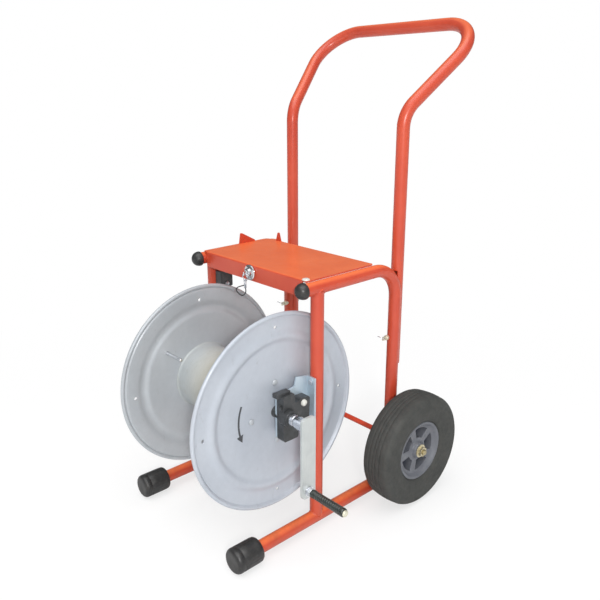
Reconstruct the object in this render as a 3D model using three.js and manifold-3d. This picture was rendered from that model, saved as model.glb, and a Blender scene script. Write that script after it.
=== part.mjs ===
// Two-wheeled hose reel cart: tube side frames, a deck, a bent handle and a cranked reel.
// Millimetres. +Z is up, +Y points to the handle (rear) and +X to the crank side (right).
// Dimensions have X = 0 on the middle plane of the frame, Y = 0 on the wheel axle and
// Z = 0 on the floor. ORIGIN_X and ORIGIN_Y then move the whole cart, so that its origin
// is on the floor under the middle of its bounding box.
import * as THREE from "three";
import { mergeVertices } from "three/addons/utils/BufferGeometryUtils.js";
import Module from "manifold-3d";

const wasm = await Module();
wasm.setup();

const ORIGIN_X = -32.25;
const ORIGIN_Y = 156.75;

// ---- shared dimensions ----
const GAP = 0.3; // clearance left between neighbouring pieces
const THROUGH = 600; // half length of a cutter that passes right through a piece
const SMALL_BOLT_R = 3;
const LARGE_BOLT_R = 4;

const TUBE_R = 13.3; // frame and handle tube, outside radius
const TUBE_WALL = 2;
const TUBE_BORE_R = TUBE_R - TUBE_WALL;
const SIDE_X = 170; // plane of each side frame
const RAIL_Z = 530; // centre line of the top rail
const RAIL_FRONT_Y = -266;
const RAIL_BEND_R = 66;
const RAIL_BEND_STEPS = 7;
const REAR_POST_Y = 0;
const FRONT_POST_Y = -232;
const BASE_Z = 25.2;
const BASE_FRONT_Y = -446;
const BASE_REAR_Y = 22;

const AXLE_R = 6;
const WHEEL_R = 127;
const REEL_Y = -317.5;
const REEL_Z = 290;
const SHAFT_R = 9.5;
const SHAFT_LEFT_X = -206;

const SIDES = [
  { side: "right", sign: 1 },
  { side: "left", sign: -1 },
];

const point = (x, y, z) => new THREE.Vector3(x, y, z);
const WHEEL_AXIS = point(0, REAR_POST_Y, WHEEL_R);
const REEL_AXIS = point(0, REEL_Y, REEL_Z);

// ---- solids ----

// A closed three.js geometry as a solid, turned right side out.
function solid(geometry) {
  const source = geometry.index ? geometry.toNonIndexed() : geometry;
  const bare = new THREE.BufferGeometry();
  bare.setAttribute("position", source.getAttribute("position"));
  const merged = mergeVertices(bare, 1e-4);
  const corners = merged.index.array;
  const triangles = [];
  for (let i = 0; i < corners.length; i += 3) {
    const [a, b, c] = corners.slice(i, i + 3);
    if (a !== b && b !== c && c !== a) triangles.push(a, b, c);
  }
  const make = () =>
    new wasm.Manifold(
      new wasm.Mesh({
        numProp: 3,
        vertProperties: new Float32Array(merged.attributes.position.array),
        triVerts: new Uint32Array(triangles),
      }),
    );
  const made = make();
  if (made.volume() >= 0) return made;
  for (let i = 0; i < triangles.length; i += 3) {
    [triangles[i + 1], triangles[i + 2]] = [triangles[i + 2], triangles[i + 1]];
  }
  return make();
}

// A solid as a flat-shaded three.js geometry.
function geometryOf(part) {
  const mesh = part.getMesh();
  const indexed = new THREE.BufferGeometry();
  indexed.setAttribute("position", new THREE.BufferAttribute(mesh.vertProperties, 3));
  indexed.setIndex(new THREE.BufferAttribute(mesh.triVerts, 1));
  const flat = indexed.toNonIndexed();
  flat.computeVertexNormals();
  return flat;
}

// A geometry built about the Y axis, laid along the named axis through a centre.
function laidAlong(axis, geometry, centre) {
  if (axis === "x") geometry.rotateZ(-Math.PI / 2);
  if (axis === "z") geometry.rotateX(Math.PI / 2);
  geometry.translate(centre.x, centre.y, centre.z);
  return solid(geometry);
}

// A round bar between two distances along an axis, measured from the centre.
function bar(axis, radius, from, to, centre, segments = 24) {
  const geometry = new THREE.CylinderGeometry(radius, radius, to - from, segments);
  geometry.translate(0, (from + to) / 2, 0);
  return laidAlong(axis, geometry, centre);
}

function hexBar(axis, acrossFlats, from, to, centre) {
  return bar(axis, acrossFlats / Math.sqrt(3), from, to, centre, 6);
}

// The cutter for a hole that passes right through.
function drill(axis, radius, centre, segments = 12) {
  return bar(axis, radius, -THROUGH, THROUGH, centre, segments);
}

// A solid with holes along X at each of the centres.
function drilledAt(centres, part, radius) {
  return centres.reduce((rest, centre) => rest.subtract(drill("x", radius, centre, 8)), part);
}

function block(x0, x1, y0, y1, z0, z1) {
  const geometry = new THREE.BoxGeometry(x1 - x0, y1 - y0, z1 - z0);
  geometry.translate((x0 + x1) / 2, (y0 + y1) / 2, (z0 + z1) / 2);
  return solid(geometry);
}

// A profile of [radius, distance along the axis] pairs turned about an axis through the
// centre. A profile that does not start and end on the axis is closed on itself.
function turned(axis, profile, centre, segments = 40) {
  const points = profile.map(([radius, along]) => new THREE.Vector2(radius, along));
  const onAxis = points[0].x === 0 && points.at(-1).x === 0;
  if (!onAxis) points.push(points[0].clone());
  return laidAlong(axis, new THREE.LatheGeometry(points, segments), centre);
}

// A ring of rectangular section about X.
function collar(boreRadius, radius, x0, x1, centre, segments) {
  const profile = [[boreRadius, x0], [radius, x0], [radius, x1], [boreRadius, x1]];
  return turned("x", profile, centre, segments);
}

// An outline in the X-Y plane given a thickness upwards from Z = 0.
function extruded(outline, depth) {
  const shape = new THREE.Shape(outline.map(([x, y]) => new THREE.Vector2(x, y)));
  return new THREE.ExtrudeGeometry(shape, { depth, bevelEnabled: false });
}

// An outline of [y, z] pairs given a thickness along X.
function plateX(outline, x0, x1) {
  const axes = new THREE.Matrix4().makeBasis(point(0, 1, 0), point(0, 0, 1), point(1, 0, 0));
  return solid(extruded(outline, x1 - x0).applyMatrix4(axes).translate(x0, 0, 0));
}

// An outline of [x, z] pairs given a thickness along Y.
function plateY(outline, y0, y1) {
  return solid(extruded(outline, y1 - y0).rotateX(Math.PI / 2).translate(0, y1, 0));
}

// An outline of [x, y] pairs given a thickness along Z.
function plateZ(outline, z0, z1) {
  return solid(extruded(outline, z1 - z0).translate(0, 0, z0));
}

// The X range between two distances from the middle plane, on the side given by sign.
function spanX(sign, near, far) {
  return sign > 0 ? [near, far] : [-far, -near];
}

// The points of an arc that rounds off a corner.
function cornerArc(before, corner, after, radius, steps) {
  const toBefore = before.clone().sub(corner).normalize();
  const toAfter = after.clone().sub(corner).normalize();
  const half = toBefore.angleTo(toAfter) / 2;
  const setback = radius / Math.tan(half);
  const centre = corner.clone().addScaledVector(
    toBefore.clone().add(toAfter).normalize(),
    radius / Math.sin(half),
  );
  const start = corner.clone().addScaledVector(toBefore, setback).sub(centre).normalize();
  const end = corner.clone().addScaledVector(toAfter, setback).sub(centre).normalize();
  const sweep = start.angleTo(end);
  const across = end.clone().addScaledVector(start, -end.dot(start)).normalize();
  return Array.from({ length: steps + 1 }, (_, i) => {
    const angle = (sweep * i) / steps;
    return centre
      .clone()
      .addScaledVector(start, radius * Math.cos(angle))
      .addScaledVector(across, radius * Math.sin(angle));
  });
}

// A closed outline with each corner rounded to its own radius.
function rounded(outline, radii, steps) {
  const points = outline.map(([x, y]) => point(x, y, 0));
  const arcs = points.flatMap((corner, i) => {
    const after = points[(i + 1) % points.length];
    return cornerArc(points.at(i - 1), corner, after, radii[i], steps);
  });
  return arcs.map(({ x, y }) => [x, y]);
}

// An open 3-D line with each inner corner rounded to its own radius.
function bentLine(points, radii, steps) {
  const arcs = radii.flatMap((radius, i) =>
    cornerArc(points[i], points[i + 1], points[i + 2], radius, steps),
  );
  return [points[0], ...arcs, points.at(-1)];
}

// A path with one step per station, so that a straight run costs one step.
class Stations extends THREE.Curve {
  constructor(points) {
    super();
    this.points = points;
  }
  stationAt(u) {
    return Math.round(u * (this.points.length - 1));
  }
  getPointAt(u, target = new THREE.Vector3()) {
    return target.copy(this.points[this.stationAt(u)]);
  }
  // The mean direction of the runs that meet at the station.
  getTangentAt(u, target = new THREE.Vector3()) {
    const { points } = this;
    const i = this.stationAt(u);
    target.set(0, 0, 0);
    if (i > 0) target.add(points[i].clone().sub(points[i - 1]).normalize());
    if (i < points.length - 1) target.add(points[i + 1].clone().sub(points[i]).normalize());
    return target.normalize();
  }
}

// A round tube (or a rod, with no wall) swept along a line.
function swept(line, radius, wall = 0, segments = 16) {
  const ring = (ringRadius, direction) =>
    Array.from({ length: segments }, (_, i) => {
      const angle = (direction * i * 2 * Math.PI) / segments;
      return new THREE.Vector2(ringRadius * Math.cos(angle), ringRadius * Math.sin(angle));
    });
  const shape = new THREE.Shape(ring(radius, 1));
  if (wall) shape.holes.push(new THREE.Path(ring(radius - wall, -1)));
  return solid(
    new THREE.ExtrudeGeometry(shape, {
      steps: line.length - 1,
      bevelEnabled: false,
      extrudePath: new Stations(line),
    }),
  );
}

// ---- materials ----
const PAINT = { color: 0xe4552f, roughness: 0.38, metalness: 0.0 };
const RUBBER = { color: 0x3a3936, roughness: 0.85, metalness: 0.0 };
const ZINC = { color: 0xc6c8cc, roughness: 0.32, metalness: 0.9 };
const CHROME = { color: 0xdedfe2, roughness: 0.12, metalness: 1.0 };
const REEL_PAINT = { color: 0xbcc0c8, roughness: 0.4, metalness: 0.3 };
const CASTING = { color: 0x2f2f2b, roughness: 0.6, metalness: 0.2 };
const BRASS = { color: 0xb58f4a, roughness: 0.3, metalness: 0.9 };
const HUB = { color: 0x83858c, roughness: 0.5, metalness: 0.4 };
const YELLOW_ZINC = { color: 0xb0a377, roughness: 0.35, metalness: 0.85 };

// ---- side frames ----
const DECK_BOLT_X = 160;
const DECK_BOLT_Y = -252.5;
const DECK_BOLT_AXIS = point(DECK_BOLT_X, DECK_BOLT_Y, 0);
const HANDLE_X = 165.6;
const LOCK_PIN_Z = 371;
const LOCK_PIN_R = 4;
const BRACKET_BOLT_X = 172;
const BRACKET_BOLT_Z = 340;
const lockPinCentre = (sign) => point(sign * HANDLE_X, 0, LOCK_PIN_Z);
const bracketBoltAxis = (sign) => point(sign * BRACKET_BOLT_X, 0, BRACKET_BOLT_Z);

const FOOT_CAP_R = 26;
const FOOT_CAP_FRONT_Y = -455;
const FOOT_CAP_REAR_Y = -393;
const RAIL_CAP_R = 16.2;

// Centre line of the top rail and rear post.
function railAndPostLine(x, frontY, bottomZ) {
  const corners = [
    point(x, frontY, RAIL_Z),
    point(x, REAR_POST_Y, RAIL_Z),
    point(x, REAR_POST_Y, bottomZ),
  ];
  return bentLine(corners, [RAIL_BEND_R], RAIL_BEND_STEPS);
}

// Space kept clear round the base tube.
function baseEnvelope(x) {
  return bar("y", TUBE_R + GAP, -460, 60, point(x, 0, BASE_Z), 16);
}

// Top rail and rear post, one bent tube, coped on to the base tube.
function sideTube(sign) {
  const x = sign * SIDE_X;
  const tube = swept(railAndPostLine(x, RAIL_FRONT_Y, BASE_Z + 7), TUBE_R, TUBE_WALL)
    .subtract(baseEnvelope(x))
    .subtract(drill("x", AXLE_R + GAP, WHEEL_AXIS, 16))
    .subtract(drill("y", LOCK_PIN_R + GAP, lockPinCentre(sign)));
  if (sign < 0) return tube;
  // The deck bolt goes through the upper wall of the right rail only.
  return tube.subtract(bar("z", SMALL_BOLT_R + GAP, 525, 560, DECK_BOLT_AXIS, 12));
}

// Front post, coped on to the base tube and under the rail.
function frontPost(sign) {
  const x = sign * SIDE_X;
  const line = [point(x, FRONT_POST_Y, BASE_Z + 6), point(x, FRONT_POST_Y, RAIL_Z - 6)];
  const railEnvelope = bar("y", TUBE_R + GAP, -300, -120, point(x, 0, RAIL_Z), 16);
  // The bracket bolt goes through the front wall only.
  const boltHole = bar("y", SMALL_BOLT_R + GAP, -250, -225, bracketBoltAxis(sign), 12);
  return swept(line, TUBE_R, TUBE_WALL)
    .subtract(baseEnvelope(x))
    .subtract(railEnvelope)
    .subtract(boltHole);
}

function baseTube(sign) {
  const x = sign * SIDE_X;
  const line = [point(x, BASE_FRONT_Y, BASE_Z), point(x, BASE_REAR_Y, BASE_Z)];
  return swept(line, TUBE_R, TUBE_WALL);
}

// Thick rubber cup on the front end of the base tube, with a flat underside at floor level.
function footCap(sign) {
  const x = sign * SIDE_X;
  const profile = [
    [0, FOOT_CAP_FRONT_Y],
    [18.5, FOOT_CAP_FRONT_Y],
    [23, FOOT_CAP_FRONT_Y + 1.6],
    [25.3, FOOT_CAP_FRONT_Y + 4.6],
    [FOOT_CAP_R, FOOT_CAP_FRONT_Y + 9],
    [FOOT_CAP_R - 0.2, FOOT_CAP_REAR_Y - 5],
    [FOOT_CAP_R - 1.2, FOOT_CAP_REAR_Y - 1.2],
    [FOOT_CAP_R - 3, FOOT_CAP_REAR_Y],
    [TUBE_R + GAP, FOOT_CAP_REAR_Y],
    [TUBE_R + GAP, BASE_FRONT_Y - GAP],
    [0, BASE_FRONT_Y - GAP],
  ];
  const belowFloor = block(x - 40, x + 40, -480, -380, -20, 0);
  return turned("y", profile, point(x, 0, BASE_Z), 22).subtract(belowFloor);
}

// Domed plug in the front end of the top rail.
function railCap(sign) {
  const profile = [
    [0, -19.5], [5, -18.9], [10, -16.7], [13.6, -13], [15.6, -8.4],
    [RAIL_CAP_R, -3.2],
    [RAIL_CAP_R - 0.4, -GAP],
    [TUBE_BORE_R - GAP, -GAP],
    [TUBE_BORE_R - GAP, 6],
    [TUBE_BORE_R - 1.5, 8],
    [0, 8],
  ];
  return turned("y", profile, point(sign * SIDE_X, RAIL_FRONT_Y, RAIL_Z), 18);
}

// ---- deck ----
const DECK_TOP_Z = 547;
const DECK_T = 3.2;
const DECK_HALF_X = 168;
const DECK_FRONT_Y = -258;
const DECK_REAR_Y = -71.5;
const APRON_HALF_X = 155.5;
const APRON_BOTTOM_Z = 513;
const BOLT_SEAT_R = 8.3;
const BOLT_SEAT_Z = DECK_TOP_Z - 0.5;
const FRONT_PIN_Z = 531;
const FRONT_PIN_R = 4;
const FRONT_PIN_CENTRE = point(0, 0, FRONT_PIN_Z);

// Folded plate with a front apron and two upstanding tabs on the left.
function deckPlate() {
  const top = plateZ(
    rounded(
      [
        [-DECK_HALF_X, DECK_FRONT_Y],
        [DECK_HALF_X, DECK_FRONT_Y],
        [DECK_HALF_X, DECK_REAR_Y],
        [-DECK_HALF_X, DECK_REAR_Y],
      ],
      [5, 5, 4, 12],
      4,
    ),
    DECK_TOP_Z - DECK_T,
    DECK_TOP_Z,
  );
  const apron = block(
    -APRON_HALF_X,
    APRON_HALF_X,
    DECK_FRONT_Y,
    DECK_FRONT_Y + DECK_T,
    APRON_BOTTOM_Z,
    DECK_TOP_Z - DECK_T / 2,
  );
  // [y, z] up the left edge.
  const sideTab = [
    [-158, DECK_TOP_Z - 1],
    [-112, DECK_TOP_Z - 1],
    [-112, DECK_TOP_Z + 3],
    [-149, DECK_TOP_Z + 23.5],
    [-154, DECK_TOP_Z + 24],
  ];
  // [x, z] up the rear edge.
  const rearTab = [
    [-133, DECK_TOP_Z - 1],
    [-116, DECK_TOP_Z - 1],
    [-122, DECK_TOP_Z + 20],
    [-127, DECK_TOP_Z + 20],
  ];
  return top
    .add(apron)
    .add(plateX(sideTab, -DECK_HALF_X, -DECK_HALF_X + DECK_T))
    .add(plateY(rearTab, DECK_REAR_Y - DECK_T, DECK_REAR_Y))
    .subtract(drill("z", SMALL_BOLT_R + GAP, DECK_BOLT_AXIS))
    .subtract(bar("z", BOLT_SEAT_R, BOLT_SEAT_Z, 560, DECK_BOLT_AXIS, 12))
    .subtract(drill("y", FRONT_PIN_R + GAP, FRONT_PIN_CENTRE, 16));
}

function deckCornerBolt() {
  const profile = [
    [0, DECK_TOP_Z + 3],
    [5.2, DECK_TOP_Z + 2.8],
    [7.2, DECK_TOP_Z + 1.9],
    [7.7, BOLT_SEAT_Z + GAP],
    [SMALL_BOLT_R, BOLT_SEAT_Z + GAP],
    [SMALL_BOLT_R, 532],
    [0, 532],
  ];
  return turned("z", profile, DECK_BOLT_AXIS, 14);
}

// ---- block under the deck, inside the left side frame ----
const UNDER_BLOCK_X = -136; // its face towards the middle of the cart
const UNDER_SCREW_AXIS = point(0, -219, 470);

function underDeckBlock() {
  const outline = [[-236, 462], [-203, 462], [-203, 500], [-236, 500]]; // [y, z]
  return plateX(
    rounded(outline, [3, 3, 3, 3], 2),
    -SIDE_X + TUBE_R + GAP,
    UNDER_BLOCK_X,
  ).subtract(drill("x", SMALL_BOLT_R + GAP, UNDER_SCREW_AXIS));
}

function underDeckScrew() {
  const profile = [
    [0, -152],
    [SMALL_BOLT_R, -152],
    [SMALL_BOLT_R, UNDER_BLOCK_X + GAP],
    [5.2, UNDER_BLOCK_X + GAP],
    [4.4, -133.6],
    [2, -132.6],
    [0, -132.4],
  ];
  return turned("x", profile, UNDER_SCREW_AXIS, 16);
}

// ---- handle ----
const HANDLE_Y = 9.3;
const HANDLE_BOTTOM_Z = 307;
const HANDLE_KNEE_Z = 842.4;
const HANDLE_TOP_X = 234.7;
const HANDLE_TOP_Y = 193.5;
const HANDLE_TOP_Z = 1017.3;
const HANDLE_KNEE_R = 67.5;
const HANDLE_CORNER_R = 83.3;

// One bent tube whose two lower ends are cut to saddles behind the rear posts.
function handleTube() {
  const corners = [
    point(HANDLE_X, HANDLE_Y, HANDLE_BOTTOM_Z),
    point(HANDLE_X, HANDLE_Y, HANDLE_KNEE_Z),
    point(HANDLE_TOP_X, HANDLE_TOP_Y, HANDLE_TOP_Z),
    point(-HANDLE_TOP_X, HANDLE_TOP_Y, HANDLE_TOP_Z),
    point(-HANDLE_X, HANDLE_Y, HANDLE_KNEE_Z),
    point(-HANDLE_X, HANDLE_Y, HANDLE_BOTTOM_Z),
  ];
  const radii = [HANDLE_KNEE_R, HANDLE_CORNER_R, HANDLE_CORNER_R, HANDLE_KNEE_R];
  let handle = swept(bentLine(corners, radii, 5), TUBE_R, TUBE_WALL);
  for (const { sign } of SIDES) {
    const x = sign * SIDE_X;
    handle = handle
      .subtract(swept(railAndPostLine(x, -200, 280), TUBE_R + GAP))
      // What is left of the saddle in front of the post's centre line.
      .subtract(block(x - 20, x + 20, -16, 0.5, 280, 520))
      .subtract(drill("y", LOCK_PIN_R + GAP, lockPinCentre(sign)));
  }
  return handle;
}

// ---- handle lock pins ----
const LOCK_PIN_EYE_Y = -25.5;
const LOCK_RING_TILT = -0.46; // radians about X, raising the front of the ring

// Headed pin with a flat tongue at its front end, drilled for the ring.
function lockPin(sign) {
  const centre = lockPinCentre(sign);
  const { x, z } = centre;
  const profile = [
    [0, -21], [4.6, -21], [5.6, -20], [5.6, -14.2],
    [LOCK_PIN_R, -14.2], [LOCK_PIN_R, 26], [LOCK_PIN_R - 1.2, 28], [0, 28],
  ];
  return turned("y", profile, centre, 16)
    .add(block(x - 1.5, x + 1.5, -30, -20, z - 4, z + 4))
    .subtract(drill("x", 2, point(0, LOCK_PIN_EYE_Y, z)));
}

// Loose ring in front of the pin, threaded through its tongue.
function lockPinRing(sign) {
  const ring = new THREE.TorusGeometry(8.6, 0.75, 6, 20);
  ring.translate(0, -8.9, 0);
  ring.rotateX(LOCK_RING_TILT);
  ring.translate(sign * HANDLE_X, LOCK_PIN_EYE_Y, LOCK_PIN_Z);
  return solid(ring);
}

// ---- front pull pin through the apron, with its ring, ferrule and wire loop ----
const FRONT_EYE_Y = -273;
const FERRULE_TOP_Z = 513;
const FERRULE_LENGTH = 13;

function frontPullPin() {
  const profile = [
    [0, -269.6], [6.4, -269.6], [8.6, -268.4], [9.4, -266], [9.4, -263.6],
    [15, -262.4], [16.2, -261.4], [16.2, -259.4],
    [15, DECK_FRONT_Y - GAP],
    [FRONT_PIN_R, DECK_FRONT_Y - GAP],
    [FRONT_PIN_R, -226],
    [2.8, -224],
    [0, -224],
  ];
  return turned("y", profile, FRONT_PIN_CENTRE, 20)
    .add(block(-1.6, 1.6, -276.6, -268, FRONT_PIN_Z - 4.2, FRONT_PIN_Z + 4.2))
    .subtract(drill("x", 2, point(0, FRONT_EYE_Y, FRONT_PIN_Z)));
}

// The ring hangs across the cart, clear of the knob, threaded along X at its top.
function frontPinRing() {
  const ring = new THREE.TorusGeometry(7.5, 1, 6, 20);
  ring.rotateX(Math.PI / 2);
  ring.translate(0, FRONT_EYE_Y, FRONT_PIN_Z - 7.6);
  return solid(ring);
}

// Small barrel with an eye on top.
function lanyardFerrule() {
  const eye = new THREE.TorusGeometry(3, 0.9, 6, 14);
  eye.rotateY(Math.PI / 2);
  eye.translate(0, FRONT_EYE_Y, FERRULE_TOP_Z + 2.6);
  const profile = [
    [0, 0],
    [2, 0],
    [2.6, -1],
    [2.6, 1 - FERRULE_LENGTH],
    [2, -FERRULE_LENGTH],
    [0, -FERRULE_LENGTH],
  ];
  return turned("z", profile, point(0, FRONT_EYE_Y, FERRULE_TOP_Z), 12).add(solid(eye));
}

function lanyardWire() {
  // [x, y from the eye, z]
  const stations = [
    [0.5, 0, FERRULE_TOP_Z - FERRULE_LENGTH - 0.4],
    [1.5, 0, 494], [-1, 0, 488], [-12, 1, 481], [-26, 2, 482],
    [-35, 3, 488], [-30, 2, 494], [-17, 1, 500], [-4, 0, 505],
  ];
  const curve = new THREE.CatmullRomCurve3(
    stations.map(([x, y, z]) => point(x, FRONT_EYE_Y + y, z)),
  );
  return swept(curve.getPoints(22), 0.9, 0, 6);
}

// ---- wheels ----
const WHEEL_X = 232.5; // middle plane of each tyre
const TYRE_HALF_W = 34.8;
const RIM_SEAT_R = 67;
const HUB_HALF_W = 26;
const POCKETS = { count: 5, turn: 3, halfAngle: 25, innerR: 27, outerR: 51, floor: -6.5 };

// [radius, distance outward from the middle plane]
const TYRE_PROFILE = [
  [RIM_SEAT_R + GAP, -26], [RIM_SEAT_R + GAP, 26],
  [72, 29.5],
  [84, 33],
  [98, TYRE_HALF_W],
  [113, TYRE_HALF_W - 0.3],
  [121, TYRE_HALF_W - 4],
  [125.6, TYRE_HALF_W - 10],
  [WHEEL_R, TYRE_HALF_W - 18],
  [WHEEL_R, -TYRE_HALF_W + 18],
  [125.6, -TYRE_HALF_W + 10],
  [121, -TYRE_HALF_W + 4],
  [113, -TYRE_HALF_W + 0.3],
  [98, -TYRE_HALF_W],
  [84, -33],
  [72, -29.5],
];
const RIM_PROFILE = [
  [AXLE_R + GAP, HUB_HALF_W], [14, HUB_HALF_W],
  [17, 24.5], [19, 18], [25, 16.5], [50, 17.5], [55, 19.5], [59.5, 24.5], [63, 27], [66, 27],
  [RIM_SEAT_R, 25], [RIM_SEAT_R, -25],
  [66, -27], [62, -27], [58, -14], [50, -9.5], [24, -11],
  [17, -HUB_HALF_W], [AXLE_R + GAP, -HUB_HALF_W],
];

// A wheel profile turned on one side; the left one is reversed to keep its winding.
function turnedWheel(sign, profile, segments) {
  const placed = profile.map(([radius, out]) => [radius, sign * (WHEEL_X + out)]);
  return turned("x", sign > 0 ? placed : placed.reverse(), WHEEL_AXIS, segments);
}

// [y, z] points on an arc about the wheel axle.
function wheelArc(radius, middle, half, steps) {
  return Array.from({ length: steps + 1 }, (_, i) => {
    const angle = middle - half + (2 * half * i) / steps;
    return [radius * Math.cos(angle), WHEEL_R + radius * Math.sin(angle)];
  });
}

// Rim with pockets sunk in the outward face of its web, leaving ribs between them.
function wheelRim(sign) {
  const half = THREE.MathUtils.degToRad(POCKETS.halfAngle);
  let rim = turnedWheel(sign, RIM_PROFILE, 28);
  for (let i = 0; i < POCKETS.count; i++) {
    const middle = THREE.MathUtils.degToRad(POCKETS.turn + (360 / POCKETS.count) * i);
    const outline = [
      ...wheelArc(POCKETS.outerR, middle, half, 4),
      ...wheelArc(POCKETS.innerR, middle, half * 0.8, 2).reverse(),
    ];
    const depth = spanX(sign, WHEEL_X + POCKETS.floor, WHEEL_X + 30);
    rim = rim.subtract(plateX(outline, ...depth));
  }
  return rim;
}

function axleSpacer(sign) {
  const from = sign * (SIDE_X + TUBE_R + GAP);
  const to = sign * (WHEEL_X - HUB_HALF_W - GAP);
  return collar(AXLE_R + GAP, 11, from, to, WHEEL_AXIS, 18);
}

// Flanged nut against the outward end of the wheel hub.
function axleNut(sign) {
  const seat = WHEEL_X + HUB_HALF_W + GAP;
  const hexagon = hexBar("x", 20, ...spanX(sign, seat + 1, seat + 9), WHEEL_AXIS)
    .subtract(drill("x", AXLE_R + GAP, WHEEL_AXIS, 18));
  return collar(AXLE_R + GAP, 15, sign * seat, sign * (seat + 2), WHEEL_AXIS, 18).add(hexagon);
}

// ---- bearing brackets and blocks ----
const BRACKET_INNER_X = 158;
const BRACKET_OUTER_X = 161.6;
const BRACKET_FRONT_Y = -249.9;
const BRACKET_REAR_Y = -245.9;
const BRACKET_BOTTOM_Z = 238;
const BRACKET_TOP_Z = 350;
const BEARING_INNER_X = 162;
const BEARING_OUTER_X = 181;
const BEARING_FRONT_Y = -330;
const BEARING_BOLT_AXIS = point(0, -278.5, 309);
const SET_SCREW_X = 173;
const SET_SCREW_Z = 312;
const setScrewAxis = (sign) => point(sign * SET_SCREW_X, 0, SET_SCREW_Z);

// L-shaped: one leg across the front of the post, one leg forward to the bearing.
function bearingBracket(sign) {
  const forward = [ // [y, z]
    [BRACKET_REAR_Y, BRACKET_BOTTOM_Z], [BRACKET_REAR_Y, BRACKET_TOP_Z],
    [-279, 356], [-284, 338], [-331, 331], [-331, 246], [-284, 234],
  ];
  const across = block(
    ...spanX(sign, BRACKET_INNER_X, 182),
    BRACKET_FRONT_Y,
    BRACKET_REAR_Y,
    BRACKET_BOTTOM_Z,
    BRACKET_TOP_Z,
  );
  return plateX(forward, ...spanX(sign, BRACKET_INNER_X, BRACKET_OUTER_X))
    .add(across)
    .subtract(drill("x", 14, REEL_AXIS, 20))
    .subtract(drill("y", SMALL_BOLT_R + GAP, bracketBoltAxis(sign)))
    .subtract(drill("x", LARGE_BOLT_R + GAP, BEARING_BOLT_AXIS));
}

// Cast block with a lip at its upper front and a round boss on its outward side.
function bearingBlock(sign) {
  const outline = [ // [y, z]
    [BEARING_FRONT_Y, 244], [-327, 239.5], [-292, 239.5], [-290, 267], [-263, 267],
    [-261, 318], [-284, 320], [-288, 315], [-300, 315], [-302, 336], [BEARING_FRONT_Y, 336],
  ];
  const radii = [2, 4, 4, 3, 5, 5, 3, 2, 2, 2, 2];
  const thickness = spanX(sign, BEARING_INNER_X, BEARING_OUTER_X);
  return plateX(rounded(outline, radii, 2), ...thickness)
    .add(block(...spanX(sign, BEARING_INNER_X, 175), -341, -307, 333.5, 341.5))
    .add(bar("x", 17.5, ...spanX(sign, 170, 190.5), REEL_AXIS))
    .subtract(drill("x", SHAFT_R + GAP, REEL_AXIS, 20))
    .subtract(drill("x", LARGE_BOLT_R + GAP, BEARING_BOLT_AXIS))
    .subtract(bar("y", SMALL_BOLT_R + GAP, -345, -322, setScrewAxis(sign), 12));
}

// Bolt through the ear of the block and the bracket.
function bearingBolt(sign) {
  const profile = [ // [radius, distance from the middle plane]
    [0, 152.5],
    [6.5, 152.5],
    [6.5, BRACKET_INNER_X - GAP],
    [LARGE_BOLT_R, BRACKET_INNER_X - GAP],
    [LARGE_BOLT_R, BEARING_OUTER_X + GAP],
    [7, BEARING_OUTER_X + GAP],
    [6.4, 184.6],
    [3.6, 186.4],
    [0, 186.8],
  ];
  const placed = profile.map(([radius, out]) => [radius, sign * out]);
  return turned("x", placed, BEARING_BOLT_AXIS, 12);
}

// Bolt near the top of the bracket that holds it to the post.
function bracketBolt(sign) {
  const axis = bracketBoltAxis(sign);
  return hexBar("y", 10, -254.4, BRACKET_FRONT_Y - GAP, axis)
    .add(bar("y", SMALL_BOLT_R, -251, -228, axis, 12));
}

function bearingSetScrew() {
  const axis = setScrewAxis(1);
  return bar("y", 4.6, -334.6, BEARING_FRONT_Y - GAP, axis, 16)
    .add(bar("y", SMALL_BOLT_R, -331, -324, axis, 12));
}

// ---- reel ----
const FLANGE_R = 202.7;
const FLANGE_T = 2.4;
const FLANGE_DISH = 3.6; // the web's outward face lies this far inside the rolled rim
const ROLL_R = 4.2;
const FLANGE_RIGHT_X = 147.5; // plane of the rolled rim
const FLANGE_LEFT_X = -102;
const WEB_RIGHT_X = FLANGE_RIGHT_X - FLANGE_DISH - FLANGE_T; // face towards the drum
const WEB_LEFT_X = FLANGE_LEFT_X + FLANGE_DISH + FLANGE_T;
const DRUM_R = 70;
const DRUM_WALL = 2.2;
const HUB_NOSE_R = 12;
const STUD_AXIS = point(0, -409, 364);

// Four centres on a pitch circle about the reel axis, the first at the given degrees.
function fourAround(pitchR, turn) {
  return [0, 1, 2, 3].map((i) => {
    const angle = THREE.MathUtils.degToRad(turn + 90 * i);
    return point(0, REEL_Y + pitchR * Math.cos(angle), REEL_Z + pitchR * Math.sin(angle));
  });
}
const FLANGE_BOLT_CENTRES = fourAround(62, 92);

// rimX is the plane of the rolled rim; the rim holes have a pitch radius and a turn.
const REEL_ENDS = [
  {
    side: "right", sign: 1, rimX: FLANGE_RIGHT_X, hubX: WEB_RIGHT_X - GAP,
    rimHoles: fourAround(174, 0),
  },
  {
    side: "left", sign: -1, rimX: FLANGE_LEFT_X, hubX: WEB_LEFT_X + GAP,
    rimHoles: fourAround(172, 1.5),
  },
];

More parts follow.
